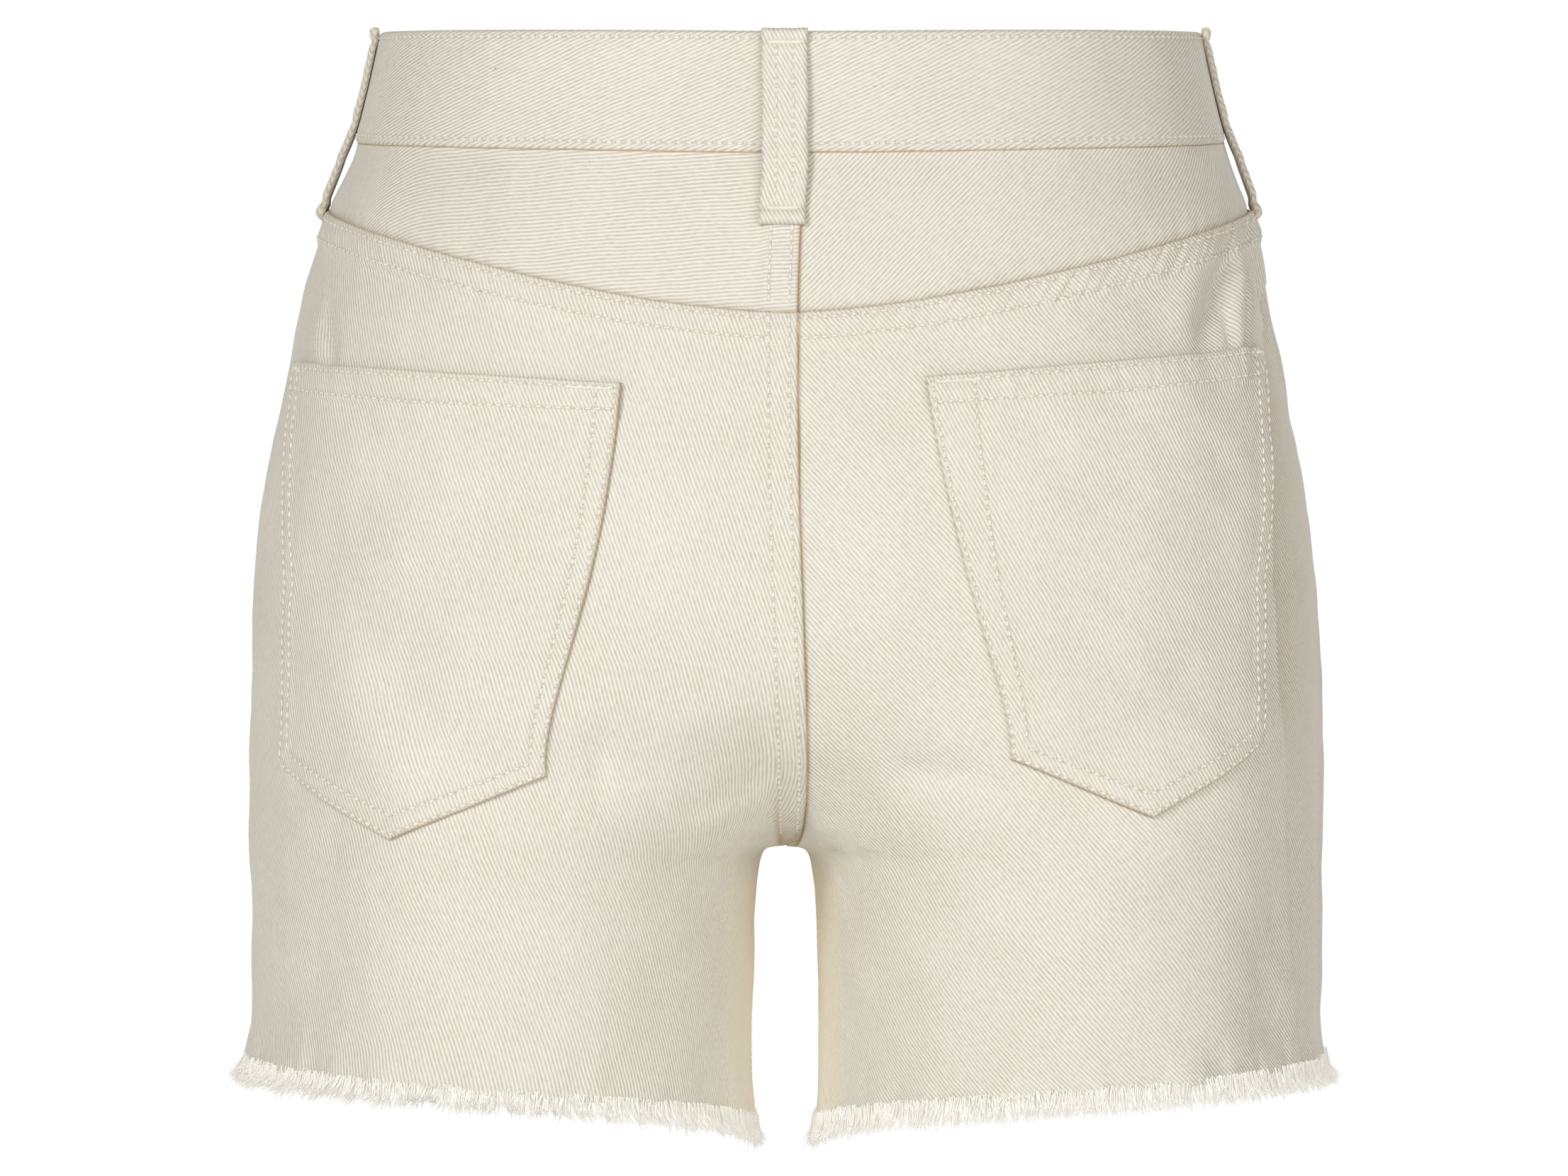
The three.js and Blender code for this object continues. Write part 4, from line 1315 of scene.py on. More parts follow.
@dataclass
class BackPanel(SewnCloth):
    """One back panel, from the yoke's seam to the raw hem."""

    half: Side
    twill: float
    band: float = 8.6
    band_height: float = 1.15
    rows: tuple[float, ...] = (2.1, 8.3)
    nominal: float = 260.0
    thickness: float = 1.2
    top_depth: float = 14.0
    pucker: float = 0.2
    twist: tuple[tuple[float, float], ...] = ()

    def past_twist(self, along: Array, drop: Array) -> tuple[Array, Array]:
        """How far a place lies in front of the side seam's twisted line.

        Args:
            along: Distances from the side seam.
            drop: Drops of the places.

        Returns:
            The distance, below zero behind the line, and how well the line shows there.
        """
        if not self.twist:
            return np.full(np.shape(along), -99.0), np.zeros(np.shape(along))
        drops, places = (np.array(column) for column in zip(*self.twist))
        shown = ease_in(drop, drops[0], 6.0) * (1.0 - 0.8 * ease_in(drop, 200.0, 40.0))
        return np.interp(drop, drops, places) - along, shown

    def along_at(self, place: Array, drop: Array) -> Array:
        """Distance from the side seam of a grid column at a drop."""
        return column_along(place, drop, self.nominal, FORM.back, LAP.edge(self.half, drop))

    def relief(self, along: Array, drop: Array) -> Array:
        """Height of the outer face over the form.

        Args:
            along: Distances from the side seam.
            drop: Drops of the places.

        Returns:
            Heights in millimetres.
        """
        grain = FORM.grain(along, drop)
        share = FORM.share(along, drop)
        top = drop - CUT.yoke(share)
        lap = LAP.relief(self.half, along, drop)
        rope = self.pucker * ripple(grain + 0.9 * top, 7.5, 23 + self.half)
        rope = rope + 0.9 * self.pucker * ripple(grain + 0.6 * top, 3.6, 27 + self.half)
        on_band = ease_out(top, self.band, 2.6)
        band = on_band * (self.band_height + rope) - ROW_DENT * groove(top, self.rows)
        band = np.where(top > self.band + 6.0, 0.0, band)
        allowance = 0.5 * ease_out(along, 10.0, 4.0) * (1.0 - np.exp(-along / 1.2))
        edge = hem_wave(self.half, share, drop, 0.0)
        loose = 0.42 * unevenness(grain, drop, 34.0, 41 + self.half)
        loose = loose + 0.15 * unevenness(grain, drop, 13.0, 43 + self.half)
        beyond, shown = self.past_twist(along, drop)
        hollow = ease_in(beyond, -0.9, 1.8) * (1.0 + 0.9 * bell(beyond - 5.0, 6.0))
        pressed = hollow * ease_in(along, 8.0, 26.0)
        loose = loose + shown * (0.45 * bell(beyond, 1.1) - pressed)
        return np.maximum(lap, band) + 0.3 * np.minimum(lap, band) + allowance + edge + loose

    def build(self, garment: Garment) -> None:
        """Make the panel as a thin shell.

        Args:
            garment: The garment that it belongs to.
        """
        place = stations(self.nominal, 16.0, 12.0, 0.8, 1.3)
        top_drop = meeting_drop(CUT.yoke, self.along_at, place, self.nominal)
        hem_drop = meeting_drop(CUT.hem, self.along_at, place, self.nominal)
        head = stations(self.top_depth + 4.0, self.top_depth, 3.0, 0.75, 1.0)
        head = head[head <= self.top_depth]
        drop = panel_rows(place, top_drop, hem_drop, head, 22)
        along = self.along_at(np.broadcast_to(place, drop.shape), drop)
        height = self.relief(along, drop)
        centre = FORM.back(drop) - along
        top = drop - drop[:1]
        inside = centre - LAP.edge(self.half, drop)
        rolled = lip(np.minimum(np.minimum(top, along), inside), self.thickness)
        outer = FORM.points(self.half, along, drop, height - rolled)
        inner = FORM.points(self.half, along, drop, np.minimum(height, 0.4) - self.thickness)
        # Painted shade along the lap, at the panel's top edge over the yoke, along its stitch rows and at the
        # side seam's edge.
        shade = LAP.seam(self.half, centre, drop)
        shade = shade + 0.8 * np.exp(-top / 0.4) + 0.12 * groove(top, self.rows, 0.5)
        shade = shade + 0.6 * np.exp(-along / 0.7)
        # Painted shade in the hollow in front of the twisted side seam, with a thin dark line beside it.
        beyond, shown = self.past_twist(along, drop)
        painted_hollow_shade = 0.1 + 0.28 * np.exp(-np.maximum(beyond - 1.5, 0.0) / 9.0)
        shade = shade + shown * (painted_hollow_shade * smooth(beyond / 1.5) + 0.15 * bell(beyond - 1.6, 0.8))
        cloth = twill_map(self.half, -FORM.grain(along, drop), drop, self.twill)
        # Painted glow on the cloth between the legs.
        painted_glow = painted_inner_glow(self.half, along, drop)
        shell = ClothShell("back_panel_" + self.half.label, outer, inner, cloth, shade, painted_glow)
        piece = garment.dress(shell, "denim_panel", "back_" + self.half.label)

    def sew(self, thread: Stitching) -> None:
        """Sew the panel's seams.

        Args:
            thread: The batch that takes the stitches.
        """
        for row in self.rows:
            place = np.arange(6.5 if self.half > 0 else 4.5, self.nominal - 1.0, SEW_STEP)
            drop = meeting_drop(CUT.yoke, self.along_at, place, self.nominal) + row
            self.sew_line(thread, self.along_at(place, drop), drop, 51 + int(row))
        if self.half > 0:
            for row in LAP.rows:
                drop = np.arange(CUT.yoke_centre + 1.0, FORM.crotch_drop - 6.0, SEW_STEP)
                along = FORM.back(drop) - LAP.edge(self.half, drop) - row
                self.sew_line(thread, along, drop, 61 + int(row))


@dataclass
class Yoke(SewnCloth):
    """One side of the back yoke, between the waistband and the back panel."""

    half: Side
    twill: float
    side_twill: float
    panel: BackPanel
    thickness: float = 1.2
    over: float = 1.5
    under: float = 2.5

    def relief(self, along: Array, drop: Array) -> Array:
        """Height of the outer face over the form."""
        centre = FORM.back(drop) - along
        share = FORM.share(along, drop)
        to_seam = CUT.yoke(share) - drop
        lap = LAP.relief(self.half, along, drop)
        dip = -0.45 * (1.0 - smooth(to_seam / 4.0))
        pull = 0.2 * ripple(centre, 8.0, 83 + self.half) * (1.0 - smooth(to_seam / 12.0))
        loose = 0.34 * unevenness(centre, drop, 30.0, 91 + self.half)
        return lap + dip + pull + loose + 0.1

    def cloth_map(self, along: Array, drop: Array) -> Array:
        """Cloth map whose ribs turn steeper towards the side, where the cloth is pulled."""
        grain = FORM.grain(along, drop)
        turned = ease_in(grain, 120.0, 110.0)
        steep = twill_map(self.half, -grain, drop, self.side_twill)
        plain = twill_map(self.half, -grain, drop, self.twill)
        return mix(plain, steep, turned[..., None])

    def build(self, garment: Garment) -> None:
        """Make the yoke as a thin shell.

        Args:
            garment: The garment that it belongs to.
        """
        nominal = self.panel.nominal
        place = stations(nominal, 16.0, 8.0, 0.8, 1.6)
        column = self.panel.along_at
        top = meeting_drop(lambda share: CUT.band_foot(share, np.array(True)), column, place, nominal)
        top = top - self.over
        foot = meeting_drop(CUT.yoke, column, place, nominal) + self.under
        head = np.array([0.0, 0.8, 1.3, 1.7, 2.1, 2.7, 3.6, 5.0])
        down = np.concatenate([np.linspace(0.0, 0.75, 14), np.linspace(0.78, 1.0, 14)])
        body = mix((top + head[-1] + 1.6)[None, :], foot[None, :], down[:, None])
        drop = np.concatenate([top + head[:, None], body])
        along = column(np.broadcast_to(place, drop.shape), drop)
        height = self.relief(along, drop)
        centre = FORM.back(drop) - along
        rolled = lip(np.minimum(along, centre - LAP.edge(self.half, drop)), self.thickness)
        outer = FORM.points(self.half, along, drop, height - rolled)
        inner = FORM.points(self.half, along, drop, height - 1.5)
        to_seam = CUT.yoke(FORM.share(along, drop)) - drop
        below_band = drop - drop[:1] - self.over
        # Painted shade along the lap, at the yoke seam, in a dark line just under the waistband and at the
        # side seam's edge.
        shade = LAP.seam(self.half, centre, drop) + 0.6 * np.exp(-np.abs(to_seam) / 0.7)
        shade = shade + 1.0 * (below_band < 0.3) + 0.5 * np.exp(-along / 0.7)
        shell = ClothShell("yoke_cloth_" + self.half.label, outer, inner, self.cloth_map(along, drop), shade)
        piece = garment.dress(shell, "denim_yoke", "yoke_" + self.half.label)

    def sew(self, thread: Stitching) -> None:
        """Sew the centre seam above the panel.

        Args:
            thread: The batch that takes the stitches.
        """
        if self.half < 0:
            return
        for row in LAP.rows:
            drop = np.arange(CUT.waist_back + CUT.band_centre + 1.0, CUT.yoke_centre - 0.5, SEW_STEP)
            along = FORM.back(drop) - LAP.edge(self.half, drop) - row
            self.sew_line(thread, along, drop, 67 + int(row))


@dataclass
class BackPocket:
    """A five-sided patch pocket with a turned mouth and a doubled edge."""

    half: Side
    near: tuple[float, float]
    near_drop: tuple[float, float]
    far: tuple[float, float]
    far_drop: tuple[float, float]
    bow: tuple[float, float]
    point: float
    twill: float
    panel: BackPanel
    thickness: float = 1.3
    mouth_hem: float = 10.4
    grid_width: float = 130.0
    grid_height: float = 138.0
    edge_rows: tuple[float, ...] = (1.6, 7.2)
    mouth_rows: tuple[float, ...] = (2.0, 9.2)
    hem_mark: float = 27.0
    pucker: float = 0.16
    inner_row: tuple[float, float] = (7.2, 7.2)
    # Strength of the painted shadow line along the inner side, the inner foot and the rest.
    edge_shade: tuple[float, float, float] = (0.5, 0.5, 0.5)
    tack: tuple[float, float] = (3.5, 16.5)

    def place(self, across: Array, down: Array) -> tuple[Array, Array]:
        """Distance from the side seam and drop of a place on the pocket.

        Args:
            across: 0 at the inner edge and 1 at the outer edge.
            down: 0 at the mouth and 1 at the foot.

        Returns:
            Along and drop, in millimetres.
        """
        mouth = mix(self.near_drop[0], self.far_drop[0], across)
        foot = mix(self.near_drop[1], self.far_drop[1], across)
        level = (self.near_drop[1] + self.far_drop[1]) / 2
        foot = foot + (self.point - level) * (1.0 - np.abs(2.0 * across - 1.0))
        drop = mix(mouth, foot, down)
        bowed = 4.0 * down * (1.0 - down)
        seat = FORM.back(np.minimum(drop, self.near_drop[1]))
        near = seat - mix(self.near[0], self.near[1], down) - self.bow[0] * bowed
        far = mix(self.far[0], self.far[1], down) + self.bow[1] * bowed
        return mix(near, far, across), drop

    def spans(self, across: Array, down: Array) -> tuple[Array, Array, Array]:
        """Pocket's width and height at a place, and the distance from there to its foot."""
        wide = mix(132.0, 112.0, down)
        tall = mix(124.0, 146.0, 1.0 - np.abs(2.0 * across - 1.0))
        return wide, tall, (1.0 - down) * tall * 0.93

    def edges(self, across: Array, down: Array) -> tuple[Array, Array]:
        """Distances from the pocket's sewn edge and from its mouth."""
        wide, tall, foot = self.spans(across, down)
        return np.minimum(np.minimum(across, 1.0 - across) * wide, foot), down * tall

    def sewn_depth(self, across: Array, down: Array) -> Array:
        """Distance from the sewn edge, drawn in where the inner row strays from the edge."""
        sewn, _ = self.edges(across, down)
        stray = mix(self.inner_row[0], self.inner_row[1], down) / self.edge_rows[1]
        return np.where((across < 0.5) & (sewn > 3.0), 3.0 + (sewn - 3.0) / (1.0 + 1.7 * (stray - 1.0)), sewn)

    def line_shade(self, across: Array, down: Array) -> Array:
        """Painted shadow along each edge, as a dark line: the inner side, the inner foot and the rest."""
        wide, _, foot = self.spans(across, down)
        inner = self.edge_shade[0] * bell(across * wide, 0.75)
        outer = self.edge_shade[2] * bell((1.0 - across) * wide, 0.75)
        below = np.where(across < 0.5, self.edge_shade[1], self.edge_shade[2])
        return np.maximum(np.maximum(inner, outer), below * bell(foot, 0.75))

    def relief(self, across: Array, down: Array) -> Array:
        """Height of the outer face over the panel.

        Args:
            across: 0 at the inner edge and 1 at the outer edge.
            down: 0 at the mouth and 1 at the foot.

        Returns:
            Heights in millimetres.
        """
        _, mouth = self.edges(across, down)
        sewn = self.sewn_depth(across, down)
        border = 0.34 * ease_out(sewn, 7.6, 1.8)
        hem = 0.55 * ease_out(mouth, self.mouth_hem, 1.2)
        from_inner = across * self.grid_width
        flap = 0.4 * ease_out(from_inner, self.hem_mark, 1.0) * ease_out(mouth, 10.0, 1.0)
        belly = np.sin(math.pi * clamp(across, 0.0, 1.0)) * np.exp(-mouth / 60.0)
        pull = self.pucker * ripple(from_inner, 6.4, 101 + self.half) * bell(mouth - 5.6, 4.0)
        drawn = ripple(mouth + 0.7 * sewn, 6.8, 103 + self.half) + 0.6 * ripple(mouth, 3.7, 105 + self.half)
        pull = pull + 0.9 * self.pucker * drawn * bell(sewn - 4.2, 3.0)
        dents = ROW_DENT * groove(sewn, self.edge_rows) + ROW_DENT * groove(mouth, self.mouth_rows)
        loose = 0.32 * unevenness(from_inner, mouth, 31.0, 107 + self.half)
        return self.thickness + 0.2 + border + hem + flap + 0.8 * belly + pull + loose - dents

    def build(self, garment: Garment) -> None:
        """Make the pocket as a thin shell on the panel.

        Args:
            garment: The garment that it belongs to.
        """
        wide = stations(self.grid_width, 11.0, 11.0, 0.75, 1.5) / self.grid_width
        wide = np.unique(np.concatenate([wide, [0.5]]))
        tall = stations(self.grid_height, 14.0, 11.0, 0.75, 1.5) / self.grid_height
        across, down = np.meshgrid(wide, tall)
        along, drop = self.place(across, down)
        panel = self.panel.relief(along, drop)
        sewn, mouth = self.edges(across, down)
        height = self.relief(across, down)
        rolled = lip(np.minimum(sewn, mouth), self.thickness + 0.4)
        outer = FORM.points(self.half, along, drop, panel + height - rolled)
        inner = FORM.points(self.half, along, drop, panel + np.maximum(height - 1.6, -0.1) * 0.5)
        # Painted shade: shadow lines along the edges, at the mouth and along the stitch rows.
        shade = self.line_shade(across, down) + 0.2 * np.exp(-mouth / 0.5)
        drawn = self.sewn_depth(across, down)
        shade = shade + 0.1 * groove(drawn, self.edge_rows, 0.5) + 0.1 * groove(mouth, self.mouth_rows, 0.5)
        shell = ClothShell(
            "patch_pocket_" + self.half.label,
            outer,
            inner,
            twill_map(self.half, -FORM.grain(along, drop), drop, self.twill),
            shade,
        )
        piece = garment.dress(shell, "denim_pocket", "back_pocket_" + self.half.label)

    def sew(self, thread: Stitching) -> None:
        """Sew the pocket's edge, mouth and bar tacks.

        Args:
            thread: The batch that takes the stitches.
        """
        for row in self.mouth_rows:
            across = np.linspace(0.013, 0.987, 180)
            self.sew_line(thread, across, np.full(across.shape, row / 134.0), 111 + int(row))
        for number, row in enumerate(self.edge_rows):
            inset = row / 128.0
            foot = 1.0 - row / self.grid_height
            down = np.linspace(0.012, foot, 190)
            near = mix(self.inner_row[0], self.inner_row[1], down) / 128.0 if number else np.full(190, inset)
            across = np.linspace(float(near[-1]), 1.0 - inset, 150)
            self.sew_line(thread, near, down, 121 + int(row))
            self.sew_line(thread, across, np.full(across.shape, foot), 127 + int(row))
            self.sew_line(thread, np.full(down.shape, 1.0 - inset), down, 131 + int(row))
        for start, end in (self.tack, (124.6, 128.4)):
            bar = np.linspace(start, end, 12) / self.grid_width
            line, above = self.lift(bar, np.full(bar.shape, 0.018))
            thread.bar(line, above, 1.3)

    def lift(self, across: Array, down: Array) -> tuple[Array, Array]:
        """Points on the pocket's outer face, and the same points further out."""
        along, drop = self.place(across, down)
        height = self.relief(across, down) + self.panel.relief(along, drop)
        line = FORM.points(self.half, along, drop, height)
        return line, FORM.points(self.half, along, drop, height + 1.0)

    def sew_line(self, thread: Stitching, across: Array, down: Array, seed: int) -> None:
        """Sew one row on the pocket."""
        line, above = self.lift(across, down)
        thread.row(line, above, seed)


@dataclass
class FrontPanel(SewnCloth):
    """One front panel, with the pocket's scoop, the fly's edge and the raw hem."""

    half: Side
    twill: float
    fly_past: float = 5.0
    lap_end: float = 184.5
    lap_ease: float = 11.0
    fly_flat: float = 2.5
    fly_ease: float = 16.0
    fly_lift: float = 1.5
    fly_rows: tuple[float, ...] = (36.0, 42.0)
    scoop_rows: tuple[float, ...] = (2.0, 8.4)
    nominal: float = 230.0
    thickness: float = 1.2

    def edge(self, drop: Array) -> Array:
        """Distance of the centre edge from the centre line."""
        if self.half < 0:
            return np.full(np.shape(drop), SEAM_HALF_GAP)
        return mix(SEAM_HALF_GAP, -self.fly_past, smooth((self.lap_end - drop) / self.lap_ease))

    def along_at(self, place: Array, drop: Array) -> Array:
        """Distance from the side seam of a grid column at a drop, below zero at the front."""
        return -column_along(place, drop, self.nominal, FORM.front, self.edge(drop))

    def fly(self, centre: Array, drop: Array) -> Array:
        """Height by which the left fly stands over the right."""
        if self.half < 0:
            return np.zeros(np.shape(centre))
        part = smooth((CUT.fly_foot - drop) / self.lap_ease)
        return self.fly_lift * part * ease_out(centre, self.fly_flat, self.fly_ease)

    def relief(self, along: Array, drop: Array) -> Array:
        """Height of the outer face over the form.

        Args:
            along: Distances from the side seam, below zero at the front.
            drop: Drops of the places.

        Returns:
            Heights in millimetres.
        """
        centre = FORM.front(drop) + along
        share = FORM.share(along, drop)
        top = drop - CUT.front_top(share)
        height = 0.34 * unevenness(FORM.grain(along, drop), drop, 33.0, 141 + self.half)
        scoop = ease_in(share, CUT.pocket_start, 0.03)
        height = height + scoop * (0.5 * ease_out(top, 9.5, 2.0))
        height = height - scoop * ROW_DENT * groove(top, self.scoop_rows)
        height = height + self.fly(centre, drop)
        if self.half > 0:
            part = smooth((CUT.fly_foot - drop) / self.lap_ease)
            height = height + part * (0.35 * ease_out(centre, 43.0, 2.5))
            height = height - ROW_DENT * part * groove(centre, self.fly_rows)
        return height + hem_wave(self.half, share, drop, 1.0)

    def build(self, garment: Garment) -> None:
        """Make the panel as a thin shell.

        Args:
            garment: The garment that it belongs to.
        """
        start = CUT.pocket_start * self.nominal
        place = stations(self.nominal, 16.0, 12.0, 0.8, 2.1)
        place = np.unique(np.concatenate([place, start + np.array([0.0, 0.3, 0.8, 1.6, 2.6])]))
        top_drop = meeting_drop(CUT.front_top, self.along_at, place, self.nominal)
        hem_drop = meeting_drop(CUT.hem, self.along_at, place, self.nominal)
        head = np.array([0.0, 0.25, 0.6, 1.2, 2.0, 2.8, 4.0, 5.6, 7.2, 8.4, 9.4, 10.6, 12.0])
        drop = panel_rows(place, top_drop, hem_drop, head, 36)
        along = self.along_at(np.broadcast_to(place, drop.shape), drop)
        height = self.relief(along, drop)
        centre = FORM.front(drop) + along
        top = drop - drop[:1]
        inside = centre - self.edge(drop)
        rolled = lip(np.minimum(np.minimum(top, -along), inside), self.thickness)
        outer = FORM.points(self.half, along, drop, height - rolled)
        inner = FORM.points(self.half, along, drop, self.fly(centre, drop) - self.thickness)
        # Painted shade at the top edge, the centre edge and the side seam's edge.
        shade = 0.7 * np.exp(-top / 0.35) + 0.5 * np.exp(-inside / 0.5)
        shade = shade + 0.6 * np.exp(along / 0.7)
        cloth = twill_map(self.half, FORM.grain(along, drop), drop, self.twill)
        # Painted glow on the cloth between the legs.
        painted_glow = painted_inner_glow(self.half, along, drop)
        shell = ClothShell("front_panel_" + self.half.label, outer, inner, cloth, shade, painted_glow)
        piece = garment.dress(shell, "denim_panel", "front_" + self.half.label)

    def sew(self, thread: Stitching) -> None:
        """Sew the scoop and the fly.

        Args:
            thread: The batch that takes the stitches.
        """
        for row in self.scoop_rows:
            share = mix(CUT.pocket_start + 0.006, 0.995, np.linspace(0.0, 1.0, 220) ** 2)
            drop = CUT.front_top(share) + row
            self.sew_line(thread, -FORM.front(drop) * (1.0 - share), drop, 161 + int(row))
        if self.half < 0:
            return
        for row in self.fly_rows:
            top = float(CUT.front_top(np.array(0.1)))
            turn_drop = CUT.fly_foot - 28.0
            drop = np.linspace(top + 1.0, turn_drop, 140)
            self.sew_line(thread, row - FORM.front(drop), drop, 171 + int(row))
            angle = np.linspace(0.0, math.pi / 2, 60)
            drop = turn_drop + (row - 6.0) * np.sin(angle)
            self.sew_line(thread, row * np.cos(angle) - FORM.front(drop), drop, 177 + int(row))


@dataclass
class PocketFacing:
    """The denim behind a front pocket's scoop, which carries on down as the bag."""

    half: Side
    twill: float
    first_share: float = 0.4
    below: float = 64.0
    out: float = -1.9
    thickness: float = 1.2

    def build(self, garment: Garment) -> None:
        """Make the facing as a thin shell.

        Args:
            garment: The garment that it belongs to.
        """
        share = np.linspace(self.first_share, 1.0, 60)
        t = 2.0 * (share - self.first_share) / (1.0 - self.first_share) - 1.0
        top = CUT.band_foot(share, np.array(False)) - 1.0
        round_foot = self.below * np.sqrt(1.0 - np.minimum(t**4, 1.0))
        foot = top + CUT.pocket_depth + 8.0 + round_foot
        drop = mix(top[None, :], foot[None, :], np.linspace(0.0, 1.0, 48)[:, None])
        along = -FORM.front(drop) * (1.0 - share)[None, :] - 0.1
        loose = 0.12 * unevenness(along, drop, 28.0, 191 + self.half)
        outer = FORM.points(self.half, along, drop, self.out + loose)
        inner = FORM.points(self.half, along, drop, self.out + loose - self.thickness)
        shade = np.zeros(drop.shape)
        cloth = twill_map(self.half, along, drop, self.twill)
        shell = ClothShell("pocket_facing_" + self.half.label, outer, inner, cloth, shade)
        piece = garment.dress(shell, "denim_pocket", "front_pocket_" + self.half.label)


@dataclass
class FlyUnderlap:
    """The underlap behind both sides of the fly."""

    width: float = 24.0
    out: float = -1.9
    thickness: float = 1.2

    def build(self, garment: Garment) -> None:
        """Make the underlap as a thin shell.

        Args:
            garment: The garment that it belongs to.
        """
        across = np.linspace(-self.width, self.width, 26)
        top = float(CUT.front_top(np.array(0.0))) - 1.0
        down = np.linspace(top, CUT.fly_foot, 60)
        centre, drop = np.meshgrid(across, down)
        along = centre - FORM.front(drop)
        outer = FORM.points(Side.LEFT, along, drop, self.out)
        inner = FORM.points(Side.LEFT, along, drop, self.out - self.thickness)
        cloth = twill_map(Side.LEFT, centre, drop, -68.0)
        shell = ClothShell("fly_shield", outer, inner, cloth, np.zeros(drop.shape))
        piece = garment.dress(shell, "denim_panel", "fly_underlap")


@dataclass
class Waistband:
    """The waistband, one folded strip whose left end laps over its right end at the front."""

    twill: float = 25.0
    underlap: float = 32.0
    past_centre: float = 12.0
    face: float = 1.15
    thickness: float = 2.4
    lift: float = 2.7
    lift_start: float = 52.0
    lift_length: float = 14.0
    rows: tuple[float, ...] = (2.4, 36.0)
    crease_at: float = 13.5

    @property
    def half_round(self) -> float:
        """Distance from the centre back to the centre front."""
        drop = np.array(FORM.origin_drop)
        return float(FORM.back(drop) + FORM.front(drop))

    def place(self, walked: Array, height: Array, out: Array) -> Array:
        """Points of the band.

        Args:
            walked: Distance from the centre back, positive to the wearer's left.
            height: 0 at the top edge and 1 at the lower edge.
            out: Distance out from the form.

        Returns:
            Points in metres.
        """
        walked, height, out = (a.astype(float) for a in np.broadcast_arrays(walked, height, out))
        half = self.half_round
        back_part = float(FORM.back(np.array(FORM.origin_drop))) / half
        from_back = np.abs(walked)
        folded = np.where(from_back > half, 2 * half - from_back, from_back)
        part = folded / half
        at_back = part < back_part
        share = np.where(at_back, part / back_part, (1.0 - part) / (1.0 - back_part))
        drop = CUT.waist(share, at_back) + height * CUT.band_height(share)
        flat = np.where(at_back, FORM.back(drop), -FORM.front(drop)) * (1.0 - share)
        along = np.where(from_back > half, -2 * FORM.front(drop) - flat, flat)
        raised = out + self.lift * ease_in(walked, half - self.lift_start, self.lift_length)
        left = FORM.points(Side.LEFT, along, drop, raised)
        right = FORM.points(Side.RIGHT, along, drop, raised)
        return np.where((walked < 0)[..., None], right, left)

    def relief(self, walked: Array, height: Array) -> Array:
        """Height of the outer face over the band's place."""
        down = height * self.rows[1] * 1.065
        dents = ROW_DENT * groove(down, self.rows)
        near_rows = bell(down - 5.0, 3.5) + bell(down - 33.0, 3.5)
        pull = 0.1 * ripple(walked, 7.0, 201) * near_rows
        crease = bell(walked + self.crease_at, 1.6)
        crease = crease * ease_in(down, 1.5, 3.0) * ease_out(down, 11.0, 8.0)
        loose = 0.2 * unevenness(walked, down, 36.0, 203)
        return self.face + pull + loose - dents - 0.55 * crease

    def build(self, garment: Garment) -> None:
        """Make the band as a thin shell.

        Args:
            garment: The garment that it belongs to.
        """
        start = -self.half_round - self.underlap
        length = 2 * self.half_round + self.underlap + self.past_centre
        walked = start + stations(length, 6.0, 6.0, 0.8, 1.7)
        tall = CUT.band_centre
        down = stations(tall, 5.0, 5.0, 0.7, 2.0) / tall
        across, height = np.meshgrid(walked, down)
        relief = self.relief(across, height)
        edge = np.minimum(height, 1.0 - height) * tall
        ends = np.minimum(across - start, start + length - across)
        near = np.minimum(edge, ends)
        rolled = 1.1 * np.exp(-((near / 0.55) ** 1.4))
        outer = self.place(across, height, relief - rolled)
        inner = self.place(across, height, np.full(relief.shape, self.face - self.thickness) + rolled * 0.8)
        # Painted shade along the band's edges and stitch rows.
        shade = 0.35 * np.exp(-near / 0.5) + 0.08 * groove(height * tall, self.rows, 0.5)
        cloth = twill_map(Side.RIGHT, across, height * tall, self.twill)
        shell = ClothShell("waistband_cloth", outer, inner, cloth, shade)
        piece = garment.dress(shell, "denim_band", "waistband")

    def sew(self, thread: Stitching) -> None:
        """Sew the band's two rows.

        Args:
            thread: The batch that takes the stitches.
        """
        walked = np.arange(-self.half_round - 4.0, self.half_round + self.past_centre - 2.0, SEW_STEP)
        for number, row in enumerate(self.rows):
            height = np.full(walked.shape, row / CUT.band_centre)
            relief = self.relief(walked, height)
            line = self.place(walked, height, relief)
            thread.row(line, self.place(walked, height, relief + 1.0), 211 + number)


